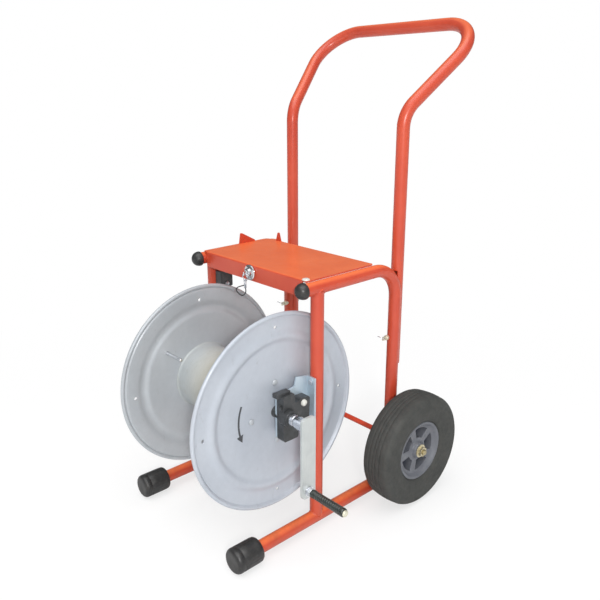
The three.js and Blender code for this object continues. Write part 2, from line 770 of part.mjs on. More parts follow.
// Pressed disc with a raised bead and a rolled rim.
function reelFlange({ sign, rimX, rimHoles }) {
  // [radius, distance outward from the rim plane]
  const outerFace = [
    [HUB_NOSE_R + GAP, -FLANGE_DISH], [139, -FLANGE_DISH],
    [143, -2.6], [147, -0.6], [151, 0.8], [155, 1.2], [159, 0.6], [164, -1.4], [168, -2.3],
    [FLANGE_R - 12, -2],
  ];
  const roll = Array.from({ length: 7 }, (_, i) => {
    const angle = THREE.MathUtils.degToRad(150 - 50 * i);
    return [FLANGE_R - ROLL_R + ROLL_R * Math.cos(angle), ROLL_R * Math.sin(angle)];
  });
  // The face towards the drum leaves out two of the outer face's points.
  const innerFace = outerFace
    .filter(([radius]) => radius !== 139 && radius !== 155)
    .reverse()
    .map(([radius, out]) => [radius, out - FLANGE_T]);
  const profile = [...outerFace, ...roll, ...innerFace].map(([radius, out]) => [
    radius,
    rimX + sign * out,
  ]);
  const flange = drilledAt(rimHoles, turned("x", profile, REEL_AXIS), 3.4);
  return sign > 0
    ? drilledAt(FLANGE_BOLT_CENTRES, flange, SMALL_BOLT_R + GAP)
    : flange.subtract(drill("x", LARGE_BOLT_R + GAP, STUD_AXIS));
}

// Open tube, flared at both ends.
function reelDrum() {
  const right = WEB_RIGHT_X - GAP;
  const left = WEB_LEFT_X + GAP;
  const profile = [
    [DRUM_R + 4, right], [DRUM_R + 1, right - 2], [DRUM_R, right - 6],
    [DRUM_R, left + 6], [DRUM_R + 1, left + 2], [DRUM_R + 4, left],
    [DRUM_R - DRUM_WALL, left], [DRUM_R - DRUM_WALL, right],
  ];
  return turned("x", profile, REEL_AXIS, 36);
}

// Hub on the drum side of each flange, its nose passing out through the web.
function reelHub({ sign, hubX }) {
  // [radius, distance outward from the seat on the web]
  const profile = [
    [SHAFT_R + GAP, 13], [HUB_NOSE_R, 13], [HUB_NOSE_R, 0], [67.3, 0], [67.3, -4],
    [22, -4], [20, -6], [20, -30], [SHAFT_R + GAP, -30],
  ].map(([radius, out]) => [radius, hubX + sign * out]);
  const hub = turned("x", profile, REEL_AXIS, 20);
  return sign > 0 ? drilledAt(FLANGE_BOLT_CENTRES, hub, SMALL_BOLT_R + GAP) : hub;
}

function flangeBolt(centre) {
  const outerFace = WEB_RIGHT_X + FLANGE_T;
  const profile = [
    [0, 127],
    [SMALL_BOLT_R, 127],
    [SMALL_BOLT_R, outerFace + GAP],
    [6.5, outerFace + GAP],
    [5.4, outerFace + 2.6],
    [3, outerFace + 3.6],
    [0, outerFace + 3.8],
  ];
  return turned("x", profile, centre, 12);
}

// Stud through the left flange: head outside it, shank reaching in beside the drum.
function hoseAnchorStud() {
  const profile = [
    [0, WEB_LEFT_X - 12],
    [7, WEB_LEFT_X - 12],
    [7, WEB_LEFT_X - FLANGE_T - 2],
    [LARGE_BOLT_R, WEB_LEFT_X - FLANGE_T - 2],
    [LARGE_BOLT_R, WEB_LEFT_X + 50],
    [3, WEB_LEFT_X + 52],
    [0, WEB_LEFT_X + 52],
  ];
  return turned("x", profile, STUD_AXIS, 18);
}

// ---- crank ----
const CRANK_X = 232.3; // face of the crank arm towards the reel
const CRANK_T = 6;
const CRANK_OUTER_X = CRANK_X + CRANK_T;
const CRANK_THROW = 134;
const CRANK_HALF_W = 17.5;
const GRIP_LENGTH = 83.4;
const GRIP_Z = REEL_Z - CRANK_THROW;
const GRIP_AXIS = point(0, REEL_Y, GRIP_Z);
const GRIP_START_X = CRANK_OUTER_X + 10;
const GRIP_END_X = GRIP_START_X + GRIP_LENGTH;

const gripBoltHole = () => drill("x", LARGE_BOLT_R + GAP, GRIP_AXIS);

function crankBoss() {
  const profile = [
    [SHAFT_R + GAP, 191.5], [12, 191.5], [12, 200], [11, 202], [13.5, 212],
    [14, CRANK_X - GAP], [SHAFT_R + GAP, CRANK_X - GAP],
  ];
  return turned("x", profile, REEL_AXIS, 18);
}

function crankArm() {
  const outline = [ // [y, z]
    [REEL_Y - CRANK_HALF_W, GRIP_Z - 14.5],
    [REEL_Y + CRANK_HALF_W, GRIP_Z - 14.5],
    [REEL_Y + CRANK_HALF_W, REEL_Z + 22],
    [REEL_Y - CRANK_HALF_W, REEL_Z + 22],
  ];
  return plateX(rounded(outline, [10, 10, 9, 9], 4), CRANK_X, CRANK_OUTER_X)
    .subtract(gripBoltHole());
}

function gripBolt() {
  const profile = [
    [0, CRANK_X - 9],
    [LARGE_BOLT_R, CRANK_X - 9],
    [LARGE_BOLT_R, GRIP_END_X + GAP],
    [6.8, GRIP_END_X + GAP],
    [6.8, GRIP_END_X + 2.6],
    [5, GRIP_END_X + 4.3],
    [0, GRIP_END_X + 4.8],
  ];
  return turned("x", profile, GRIP_AXIS, 14);
}

function gripNut(acrossFlats, from, to) {
  return hexBar("x", acrossFlats, from, to, GRIP_AXIS).subtract(gripBoltHole());
}

function gripWasher() {
  return bar("x", 10.5, CRANK_OUTER_X + GAP, CRANK_OUTER_X + 2, GRIP_AXIS, 16)
    .subtract(gripBoltHole());
}

function crankGrip() {
  const profile = [ // [radius, distance from the start of the grip]
    [LARGE_BOLT_R + GAP, 0], [7.2, 0], [8.2, 1.2], [8.6, 5], [7.7, 12], [7.8, 30], [8.3, 55],
    [8.7, GRIP_LENGTH - 6],
    [8.2, GRIP_LENGTH - 1],
    [7.3, GRIP_LENGTH],
    [LARGE_BOLT_R + GAP, GRIP_LENGTH],
  ];
  return turned("x", profile, point(GRIP_START_X, REEL_Y, GRIP_Z), 18);
}

// ---- inlet swivel on the left end of the shaft, with its outlet pointing down ----
function inletSwivel() {
  const bodyProfile = [
    [0, -236], [12, -236], [14, -233], [14, -222], [16, -221],
    [16, -206], [14.5, -204], [14.5, -194],
    [SHAFT_R + GAP, -194],
    [SHAFT_R + GAP, SHAFT_LEFT_X - GAP],
    [0, SHAFT_LEFT_X - GAP],
  ];
  // [radius, height from the reel axis]
  const outletProfile = [[0, 0], [11, 0], [11, -20], [9, -21], [9, -40], [8, -42], [0, -42]];
  const outlet = point(-226, REEL_Y, REEL_Z);
  return turned("x", bodyProfile, REEL_AXIS, 18)
    .add(turned("z", outletProfile, outlet, 16))
    .add(hexBar("z", 23, -28, -18.6, outlet))
    .subtract(bar("z", 5.5, -60, -18, outlet, 12));
}

// ---- assembly ----
const cart = new THREE.Group();
cart.name = "reel_cart";
cart.position.set(ORIGIN_X, ORIGIN_Y, 0);

const groups = {};
for (const name of [
  "frame",
  "reel",
  "crank_grip_group",
  "wheel_right",
  "wheel_left",
  "swivel",
  "front_pin",
  "handle_pin_right",
  "handle_pin_left",
]) {
  groups[name] = new THREE.Group();
  groups[name].name = name;
  cart.add(groups[name]);
}

function place(group, name, part, look) {
  const mesh = new THREE.Mesh(geometryOf(part), new THREE.MeshStandardMaterial(look));
  mesh.name = name;
  groups[group].add(mesh);
}

for (const { side, sign } of SIDES) {
  place("frame", `side_tube_${side}`, sideTube(sign), PAINT);
  place("frame", `front_post_${side}`, frontPost(sign), PAINT);
  place("frame", `base_tube_${side}`, baseTube(sign), PAINT);
  place("frame", `foot_cap_${side}`, footCap(sign), RUBBER);
  place("frame", `rail_cap_${side}`, railCap(sign), RUBBER);
}
place("frame", "deck_plate", deckPlate(), PAINT);
place("frame", "deck_corner_bolt", deckCornerBolt(), ZINC);
place("frame", "under_deck_block", underDeckBlock(), CASTING);
place("frame", "under_deck_screw", underDeckScrew(), ZINC);
place("frame", "axle", bar("x", AXLE_R, -272, 272, WHEEL_AXIS, 18), PAINT);
place("frame", "handle", handleTube(), PAINT);

for (const { side, sign } of SIDES) {
  place(`handle_pin_${side}`, `handle_lock_pin_${side}`, lockPin(sign), ZINC);
  place(`handle_pin_${side}`, `handle_pin_ring_${side}`, lockPinRing(sign), ZINC);
}
place("front_pin", "front_pull_pin", frontPullPin(), CHROME);
place("front_pin", "front_pin_ring", frontPinRing(), ZINC);
place("front_pin", "lanyard_ferrule", lanyardFerrule(), ZINC);
place("front_pin", "lanyard_wire", lanyardWire(), CASTING);

for (const { side, sign } of SIDES) {
  place(`wheel_${side}`, `tyre_${side}`, turnedWheel(sign, TYRE_PROFILE, 36), RUBBER);
  place(`wheel_${side}`, `wheel_rim_${side}`, wheelRim(sign), HUB);
  place("frame", `axle_spacer_${side}`, axleSpacer(sign), ZINC);
  place("frame", `axle_nut_${side}`, axleNut(sign), YELLOW_ZINC);
}
for (const { side, sign } of SIDES) {
  place("frame", `bearing_bracket_${side}`, bearingBracket(sign), ZINC);
  place("frame", `bearing_block_${side}`, bearingBlock(sign), CASTING);
  place("frame", `bearing_bolt_${side}`, bearingBolt(sign), ZINC);
  place("frame", `bracket_bolt_${side}`, bracketBolt(sign), ZINC);
}
place("frame", "bearing_set_screw", bearingSetScrew(), CASTING);

for (const end of REEL_ENDS) {
  place("reel", `reel_flange_${end.side}`, reelFlange(end), REEL_PAINT);
  place("reel", `reel_hub_${end.side}`, reelHub(end), CASTING);
}
place("reel", "reel_drum", reelDrum(), REEL_PAINT);
const shaft = bar("x", SHAFT_R, SHAFT_LEFT_X, CRANK_X - 2.3, REEL_AXIS, 20);
place("reel", "reel_shaft", shaft, ZINC);
FLANGE_BOLT_CENTRES.forEach((centre, i) => {
  place("reel", `flange_bolt_${i + 1}`, flangeBolt(centre), REEL_PAINT);
});
place("reel", "hose_anchor_stud", hoseAnchorStud(), CHROME);

place("reel", "crank_boss", crankBoss(), ZINC);
place("reel", "crank_arm", crankArm(), ZINC);
place("reel", "grip_bolt", gripBolt(), YELLOW_ZINC);
place("reel", "grip_nut_inner", gripNut(13, CRANK_X - 7, CRANK_X - GAP), ZINC);
const outerNut = gripNut(15.5, CRANK_OUTER_X + 2.3, CRANK_OUTER_X + 9.6);
place("reel", "grip_nut_outer", outerNut, ZINC);
place("reel", "grip_washer", gripWasher(), ZINC);
place("crank_grip_group", "crank_grip", crankGrip(), CASTING);
place("swivel", "inlet_swivel", inletSwivel(), BRASS);

export default cart;
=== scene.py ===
"""A hose-reel cart: tube frame, push handle, two wheels, a crank reel and a folded deck.

The cart's layout is in millimetres: X = 0 is its middle plane with right at +X, Y = 0 is the
wheel axle with the front at -Y, and Z = 0 is the floor. point() turns it into scene metres.
"""
import math
import random

import bmesh
import bpy
from mathutils import Matrix, Vector


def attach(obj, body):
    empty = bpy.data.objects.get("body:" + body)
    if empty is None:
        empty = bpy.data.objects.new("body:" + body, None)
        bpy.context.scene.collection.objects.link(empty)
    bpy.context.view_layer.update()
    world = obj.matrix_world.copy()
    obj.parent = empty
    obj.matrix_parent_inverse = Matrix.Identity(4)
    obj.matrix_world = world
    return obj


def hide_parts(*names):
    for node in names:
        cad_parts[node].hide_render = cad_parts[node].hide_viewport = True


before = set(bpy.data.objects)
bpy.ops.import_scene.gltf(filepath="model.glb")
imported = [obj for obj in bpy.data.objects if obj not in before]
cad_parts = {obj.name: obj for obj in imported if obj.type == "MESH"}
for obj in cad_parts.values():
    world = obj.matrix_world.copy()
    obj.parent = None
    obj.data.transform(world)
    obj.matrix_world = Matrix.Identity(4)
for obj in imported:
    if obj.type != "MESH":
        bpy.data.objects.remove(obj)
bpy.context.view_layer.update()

random.seed(7)

MM = 0.001
# Where the layout's zero lies in the scene, in mm.
SHIFT_X, SHIFT_Y = -32.25, 156.75

SIDES = (("right", 1), ("left", -1))
GAP = 0.3  # clearance between fitted parts

# Frame
TUBE_R = 13.3
TUBE_WALL = 2.0
SIDE_X = 170.0
RAIL_Z = 530.0
RAIL_BEND_R = 66
BASE_Z = 25.2
POST_Y = -232
HANDLE_X, HANDLE_Y = 165.6, 9.3
HANDLE_PIN_Z = 371
FRONT_PIN_Z = 531
FRONT_RING_Y = -273
PIN_HOLE_R = 4.3
BOLT_HOLE_R = 3.3
DECK_BOLT = (160.0, -252.5)  # x, y
DECK_TOP = 547.0
DECK_SHEET = 3.2

# Wheels
AXLE_R = 6
WHEEL_R = 127.0
WHEEL_C = 232.5  # from the middle plane to the middle of a wheel

# Reel
REEL_Y, REEL_Z = -317.5, 290.0
FLANGE_R = 202.7
FLANGE_RIGHT_X, FLANGE_LEFT_X = 147.5, -102.0
FLANGE_SHEET = 2.4
WEB_DISH = 3.6  # how far a flange's flat middle lies inside its rim plane
DRUM_R = 70.0
CRANK_X, CRANK_T = 232.3, 6.0
GRIP_Z = 156
GRIP_LENGTH = 83.4


def point(x, y, z):
    """A place in the mm layout as scene metres."""
    return Vector(((x + SHIFT_X) * MM, (y + SHIFT_Y) * MM, z * MM))


# ---------------------------------------------------------------- shader nodes


class Shader:
    """One material's node tree, textured in object coordinates (metres).

    A grain is a noise's (scale, detail, roughness), and may end with an (x, y, z) stretch.
    "over" is the range of values read, and "to" the range they become.
    """

    SOCKETS = {
        "color": "Base Color",
        "rough": "Roughness",
        "metal": "Metallic",
        "normal": "Normal",
        "coat": "Coat Weight",
        "coat_rough": "Coat Roughness",
        "spec": "Specular IOR Level",
    }

    def __init__(self, name):
        self.material = bpy.data.materials.new(name)
        self.material.use_nodes = True
        self.tree = self.material.node_tree
        self.tree.nodes.clear()
        self.surface = self.new("ShaderNodeOutputMaterial").inputs["Surface"]
        self.principled = self.new("ShaderNodeBsdfPrincipled")
        self.put(self.surface, self.principled.outputs[0])
        self.position = self.new("ShaderNodeTexCoord").outputs["Object"]

    def new(self, kind, **props):
        node = self.tree.nodes.new(kind)
        for key, value in props.items():
            setattr(node, key, value)
        return node

    def put(self, socket, value):
        """Link a socket, or set a number or an (r, g, b) colour."""
        if isinstance(value, bpy.types.NodeSocket):
            self.tree.links.new(value, socket)
        elif isinstance(value, tuple):
            socket.default_value = (*value, 1.0)
        else:
            socket.default_value = value

    def noise(self, scale, detail, rough, stretch=None):
        vector = self.position
        if stretch:
            stretched = self.new("ShaderNodeVectorMath", operation="MULTIPLY")
            self.put(stretched.inputs[0], self.position)
            stretched.inputs[1].default_value = stretch
            vector = stretched.outputs[0]
        node = self.new("ShaderNodeTexNoise")
        self.put(node.inputs["Vector"], vector)
        self.put(node.inputs["Scale"], scale)
        self.put(node.inputs["Detail"], detail)
        self.put(node.inputs["Roughness"], rough)
        return node.outputs["Fac"]

    def voronoi(self, scale):
        node = self.new("ShaderNodeTexVoronoi")
        self.put(node.inputs["Vector"], self.position)
        self.put(node.inputs["Scale"], scale)
        return node.outputs["Distance"]

    def ramp(self, value, dark, light, over=(0.3, 0.7)):
        node = self.new("ShaderNodeValToRGB")
        self.put(node.inputs[0], value)
        for stop, place, color in zip(node.color_ramp.elements, over, (dark, light)):
            stop.position = place
            stop.color = (*color, 1.0)
        return node.outputs["Color"]

    def mottle(self, grain, dark, light, over=(0.3, 0.7)):
        """Two colours blended by a noise."""
        return self.ramp(self.noise(*grain), dark, light, over)

    def span(self, value, over, to=(0.0, 1.0)):
        node = self.new("ShaderNodeMapRange")
        self.put(node.inputs["Value"], value)
        names = ("From Min", "From Max", "To Min", "To Max")
        for name, number in zip(names, (*over, *to)):
            node.inputs[name].default_value = number
        return node.outputs[0]

    def patches(self, grain, over=(0.3, 0.7), to=(0.0, 1.0)):
        """A noise mapped from one range to another."""
        return self.span(self.noise(*grain), over, to)

    def math(self, operation, first, second=0.0, clamp=False):
        node = self.new("ShaderNodeMath", operation=operation, use_clamp=clamp)
        self.put(node.inputs[0], first)
        self.put(node.inputs[1], second)
        return node.outputs[0]

    def plus(self, first, second):
        return self.math("ADD", first, second)

    def minus(self, first, second):
        return self.math("SUBTRACT", first, second)

    def times(self, first, second):
        return self.math("MULTIPLY", first, second)

    def both(self, first, second):
        """The product of two masks, held between 0 and 1."""
        return self.math("MULTIPLY", first, second, clamp=True)

    def mix(self, factor, first, second, blend="MIX"):
        node = self.new("ShaderNodeMix", data_type="RGBA", blend_type=blend)
        self.put(node.inputs[0], factor)
        self.put(node.inputs[6], first)
        self.put(node.inputs[7], second)
        return node.outputs[2]

    def bump(self, height, strength, distance, normal=None):
        """Height as a bump, laid over an earlier one if normal is given."""
        node = self.new("ShaderNodeBump")
        self.put(node.inputs["Height"], height)
        self.put(node.inputs["Strength"], strength)
        self.put(node.inputs["Distance"], distance)
        if normal is not None:
            self.put(node.inputs["Normal"], normal)
        return node.outputs[0]

    def noise_bump(self, grain, strength, distance, normal=None):
        return self.bump(self.noise(*grain), strength, distance, normal)

    def xyz(self, vector=None):
        node = self.new("ShaderNodeSeparateXYZ")
        self.put(node.inputs[0], vector or self.position)
        return node.outputs

    def from_middle(self):
        """Distance from the cart's middle plane."""
        return self.math("ABSOLUTE", self.minus(self.xyz()[0], SHIFT_X * MM))

    def set(self, **values):
        """Fill the principled shader and return the material."""
        for key, value in values.items():
            self.put(self.principled.inputs[self.SOCKETS[key]], value)
        return self.material


def mix_shaders(tree, factor, first, second):
    node = tree.nodes.new("ShaderNodeMixShader")
    for socket, source in zip(node.inputs, (factor, first, second)):
        tree.links.new(source, socket)
    return node.outputs[0]


def shade(color, factor):
    return tuple(channel * factor for channel in color)


# ---------------------------------------------------------------- materials


def paint_material():
    mat = Shader("orange_enamel")
    color = mat.mottle(
        grain=(9, 5, 0.6), dark=(0.535, 0.057, 0.025), light=(0.615, 0.082, 0.035)
    )
    # Faces that look straight up are painted a lighter orange: painted light from overhead.
    normal = mat.new("ShaderNodeNewGeometry").outputs["Normal"]
    top_light_mask = mat.span(mat.xyz(normal)[2], over=(0.55, 0.95))
    painted_top_light = mat.mottle(
        grain=(16, 5, 0.6), dark=(0.800, 0.150, 0.046), light=(0.880, 0.190, 0.062)
    )
    color = mat.mix(top_light_mask, color, painted_top_light)
    # Road dirt settles towards the floor.
    dirt = mat.both(
        mat.span(mat.xyz()[2], over=(0.14, 0.0), to=(0.0, 0.40)),
        mat.patches(grain=(34, 6, 0.7), over=(0.40, 0.68)),
    )
    color = mat.mix(dirt, color, (0.22, 0.070, 0.040))
    # Small chips down to grey primer.
    chips = mat.both(
        mat.patches(grain=(170, 3, 0.5), over=(0.725, 0.745)),
        mat.patches(grain=(11, 2, 0.5), over=(0.52, 0.64)),
    )
    color = mat.mix(chips, color, (0.20, 0.12, 0.10))
    chip_rough = 0.3
    rough = mat.plus(
        mat.patches(grain=(60, 5, 0.65), to=(0.30, 0.42)), mat.times(chips, chip_rough)
    )
    peel = mat.noise_bump(grain=(420, 2, 0.5), strength=0.015, distance=0.0006)
    low = mat.noise_bump(grain=(38, 3, 0.5), strength=0.06, distance=0.0012, normal=peel)
    nicks = mat.bump(mat.minus(1.0, chips), strength=0.35, distance=0.0004, normal=low)
    return mat.set(color=color, rough=rough, normal=nicks, coat=0.25, coat_rough=0.20, spec=0.45)


def axle_material():
    """Painted between the posts, bare yellow-passivated steel beyond them."""
    mat = Shader("axle_part_painted")
    raggedness = 0.003
    edge = mat.plus(mat.from_middle(), mat.times(mat.noise(90, 3, 0.6), raggedness))
    bare = mat.span(edge, over=(0.1880, 0.1886))
    red = mat.mottle(
        grain=(9, 5, 0.6), dark=(0.620, 0.052, 0.020), light=(0.720, 0.078, 0.030)
    )
    gold = mat.mottle(grain=(60, 5, 0.6), dark=(0.34, 0.28, 0.15), light=(0.56, 0.49, 0.30))
    bare_metal = 0.9
    return mat.set(
        color=mat.mix(bare, red, gold),
        rough=mat.patches(grain=(140, 5, 0.7), to=(0.26, 0.44)),
        normal=mat.noise_bump(grain=(300, 3, 0.6), strength=0.06, distance=0.0004),
        metal=mat.times(bare, bare_metal),
    )


def rubber_material(name, base, dusty, rough, spec):
    mat = Shader(name)
    light = tuple(channel * gain for channel, gain in zip(base, (1.2, 1.2, 1.18)))
    color = mat.mottle(grain=(26, 6, 0.65), dark=shade(base, 0.85), light=light)
    dust = mat.both(mat.patches(grain=(90, 6, 0.75), over=(0.42, 0.72)), dusty)
    color = mat.mix(dust, color, (0.105, 0.098, 0.085))
    rough = mat.patches(grain=(55, 4, 0.6), to=rough)
    fine = mat.noise_bump(grain=(900, 2, 0.6), strength=0.12, distance=0.0006)
    lumps = mat.noise_bump(grain=(60, 3, 0.5), strength=0.07, distance=0.0012, normal=fine)
    return mat.set(color=color, rough=rough, normal=lumps, spec=spec)


def zinc_material(name, light, dark, rough, metal=1.0):
    """Plated steel with a spangle and drawn streaks."""
    mat = Shader(name)
    spangle = mat.voronoi(scale=85)
    noise_share = 0.5
    tone = mat.mix(noise_share, mat.noise(42, 5, 0.6), spangle)
    color = mat.ramp(tone, dark, light, over=(0.18, 0.62))
    rough = mat.plus(
        mat.patches(grain=(30, 4, 0.6, (14.0, 14.0, 1.2)), to=rough),
        mat.patches(grain=(120, 4, 0.7), over=(0.55, 0.75), to=(0.0, 0.12)),
    )
    scratch = mat.noise_bump(
        grain=(260, 3, 0.6, (6.0, 1.0, 1.0)), strength=0.06, distance=0.0004
    )
    return mat.set(color=color, rough=rough, normal=scratch, metal=metal, spec=0.5)


def plate_material(name, light, dark, rough, metal):
    """Pale passivated sheet: fine grain and soft rolling marks, no spangle."""
    mat = Shader(name)
    color = mat.mottle(grain=(24, 5, 0.6), dark=dark, light=light, over=(0.28, 0.70))
    rolling = mat.noise(40, 4, 0.6, stretch=(10.0, 10.0, 1.0))
    marks = mat.span(rolling, over=(0.35, 0.70), to=(0.0, 0.16))
    color = mat.mix(marks, color, shade(dark, 0.80))
    rough = mat.span(rolling, over=(0.3, 0.7), to=rough)
    scratch = mat.noise_bump(
        grain=(320, 3, 0.6, (6.0, 1.0, 1.0)), strength=0.04, distance=0.0004
    )
    return mat.set(color=color, rough=rough, normal=scratch, metal=metal, spec=0.5)


def reel_material(name, light, dark, arrow=False):
    mat = Shader(name)
    color = mat.mottle(grain=(7, 5, 0.6), dark=dark, light=light)
    fine = mat.mottle(
        grain=(70, 5, 0.7), dark=(0.90, 0.90, 0.90), light=(1, 1, 1), over=(0.35, 0.7)
    )
    fine_share = 0.5
    color = mat.mix(fine_share, color, fine, "MULTIPLY")
    # Handling scuffs.
    scuff = mat.both(
        mat.patches(grain=(18, 4, 0.6, (1.0, 5.0, 1.4)), over=(0.60, 0.72)),
        mat.patches(grain=(160, 5, 0.8), over=(0.46, 0.62)),
    )
    scuff_strength = 0.4
    color = mat.mix(mat.times(scuff, scuff_strength), color, (0.30, 0.30, 0.31))
    rough = mat.patches(grain=(40, 5, 0.65), to=(0.34, 0.48))
    wave = mat.noise_bump(grain=(14, 3, 0.5), strength=0.10, distance=0.003)
    normal = mat.noise_bump(grain=(500, 2, 0.5), strength=0.035, distance=0.0005, normal=wave)
    if arrow:
        color = add_arrow(mat, color)
    return mat.set(
        color=color, rough=rough, normal=normal, metal=0.12, coat=0.15, coat_rough=0.25
    )


def add_arrow(mat, color):
    """One short plain arrow on the right flange that shows the winding direction."""
    # Lengths in metres along the radius, angles in radians round the reel.
    middle = 0.092
    shaft_half = 0.0022
    head_half = 0.0080
    soft_edge, soft_end = 0.00018, 0.0015
    tail, neck, tip = (math.radians(degrees) for degrees in (-24.0, 14.0, 24.0))
    wobble_size = 0.0007
    ink, strength = (0.030, 0.032, 0.036), 0.94

    def between(value, low, high, soft):
        return mat.both(
            mat.span(value, over=(low - soft, low + soft)),
            mat.span(value, over=(high + soft, high - soft)),
        )

    x, y, z = mat.xyz()
    across = mat.minus((REEL_Y + SHIFT_Y) * MM, y)
    down = mat.minus(REEL_Z * MM, z)
    radius = mat.math("SQRT", mat.plus(mat.times(across, across), mat.times(down, down)))
    angle = mat.math("ARCTAN2", down, across)
    wobble = mat.times(mat.minus(mat.noise(420, 3, 0.6), 0.5), wobble_size)
    radius = mat.plus(radius, wobble)

    shaft = mat.both(
        between(radius, middle - shaft_half, middle + shaft_half, soft_edge),
        between(angle, tail, neck, soft_end),
    )
    # Head: a triangle that narrows along the arc.
    half = mat.span(angle, over=(neck, tip), to=(head_half, 0.0))
    off_middle = mat.math("ABSOLUTE", mat.minus(radius, middle))
    inside = mat.span(mat.minus(half, off_middle), over=(-soft_edge, soft_edge))
    head = mat.both(inside, between(angle, neck, tip, soft_end))
    mark = mat.math("MAXIMUM", shaft, head)
    outer_face = mat.span(
        x, over=[(FLANGE_RIGHT_X - depth + SHIFT_X) * MM for depth in (5.1, 4.5)]
    )
    worn = mat.patches(grain=(260, 5, 0.75), over=(0.30, 0.40))
    mark = mat.both(mat.times(mark, outer_face), worn)
    return mat.mix(mat.times(mark, strength), color, ink)


def drum_material():
    """Grey paint rubbed by the hose, with a tan tone painted in towards the crank end: painted
    light reflected from the near flange.
    """
    mat = Shader("drum_worn_grey_warm_lit")
    x = mat.xyz()[0]
    band = mat.noise(60, 4, 0.6, stretch=(9.0, 1.0, 1.0))
    wide = (0.25, 0.75)
    grey = mat.ramp(band, dark=(0.40, 0.43, 0.44), light=(0.47, 0.50, 0.51), over=wide)
    tan = mat.ramp(band, dark=(0.47, 0.42, 0.30), light=(0.58, 0.52, 0.39), over=wide)
    # The painted warm light grows from x = -75 to x = 60 mm, with an edge up to 40 mm ragged.
    ragged = 40
    reach = mat.plus(x, mat.times(mat.noise(14, 4, 0.6), ragged * MM))
    warm_light_mask = mat.span(reach, over=[(end + SHIFT_X + ragged / 2) * MM for end in (-75, 60)])
    color = mat.mix(warm_light_mask, grey, tan)
    grime = mat.patches(grain=(28, 6, 0.75), over=(0.50, 0.76), to=(0.0, 0.35))
    color = mat.mix(grime, color, (0.30, 0.28, 0.23))
    rough = mat.patches(grain=(50, 5, 0.6), to=(0.40, 0.58))
    rub = mat.bump(band, strength=0.10, distance=0.0008)
    return mat.set(color=color, rough=rough, normal=rub, metal=0.12)


def casting_material(name, base, grit, rough=(0.30, 0.46), coat=0.0):
    mat = Shader(name)
    color = mat.mottle(
        grain=(48, 6, 0.7), dark=shade(base, 0.7), light=shade(base, 1.9), over=(0.30, 0.72)
    )
    wear_strength = 0.5
    worn = mat.both(mat.patches(grain=(130, 4, 0.6), over=(0.64, 0.70)), wear_strength)
    color = mat.mix(worn, color, (0.11, 0.10, 0.085))
    rough = mat.patches(grain=(90, 4, 0.6), to=rough)
    fine = mat.noise_bump(grain=(520, 3, 0.6), strength=grit, distance=0.0005)
    lumps = mat.noise_bump(grain=(70, 3, 0.5), strength=0.15, distance=0.001, normal=fine)
    return mat.set(
        color=color, rough=rough, normal=lumps, spec=0.5, coat=coat, coat_rough=0.18
    )


def hub_material():
    mat = Shader("grey_moulded_hub")
    color = mat.mottle(
        grain=(36, 5, 0.6), dark=(0.118, 0.126, 0.148), light=(0.152, 0.160, 0.183)
    )
    # The pocket floors are painted dark: painted shade in the recesses.
    x = mat.from_middle()
    pocket_shade_mask = mat.both(
        mat.span(x, over=((WHEEL_C + 6.0) * MM, (WHEEL_C - 3.0) * MM)),
        mat.span(x, over=((WHEEL_C - 8.2) * MM, (WHEEL_C - 7.0) * MM)),
    )
    pocket_shade_strength, dust_strength = 0.85, 0.20
    color = mat.mix(mat.times(pocket_shade_mask, pocket_shade_strength), color, (0.045, 0.058, 0.085))
    dust = mat.both(mat.patches(grain=(120, 6, 0.75), over=(0.46, 0.74)), dust_strength)
    color = mat.mix(dust, color, (0.26, 0.25, 0.24))
    rough = mat.patches(grain=(70, 4, 0.6), to=(0.36, 0.56))
    normal = mat.noise_bump(grain=(480, 3, 0.6), strength=0.10, distance=0.0005)
    return mat.set(color=color, rough=rough, normal=normal, spec=0.5)


def chrome_material():
    mat = Shader("bright_chrome")
    return mat.set(
        color=mat.mottle(grain=(60, 4, 0.6), dark=(0.70, 0.71, 0.73), light=(0.86, 0.87, 0.89)),
        rough=mat.patches(grain=(200, 5, 0.7), over=(0.35, 0.75), to=(0.05, 0.20)),
        normal=mat.noise_bump(grain=(350, 3, 0.5), strength=0.03, distance=0.0004),
        metal=1.0,
    )


def brass_material():
    mat = Shader("machined_brass")
    turning = (300, 3, 0.5, (8.0, 1.0, 1.0))
    return mat.set(
        color=mat.mottle(grain=(55, 5, 0.6), dark=(0.42, 0.28, 0.09), light=(0.62, 0.44, 0.17)),
        rough=mat.patches(grain=(150, 5, 0.7), over=(0.3, 0.75), to=(0.18, 0.42)),
        normal=mat.noise_bump(grain=turning, strength=0.08, distance=0.0004),
        metal=1.0,
    )


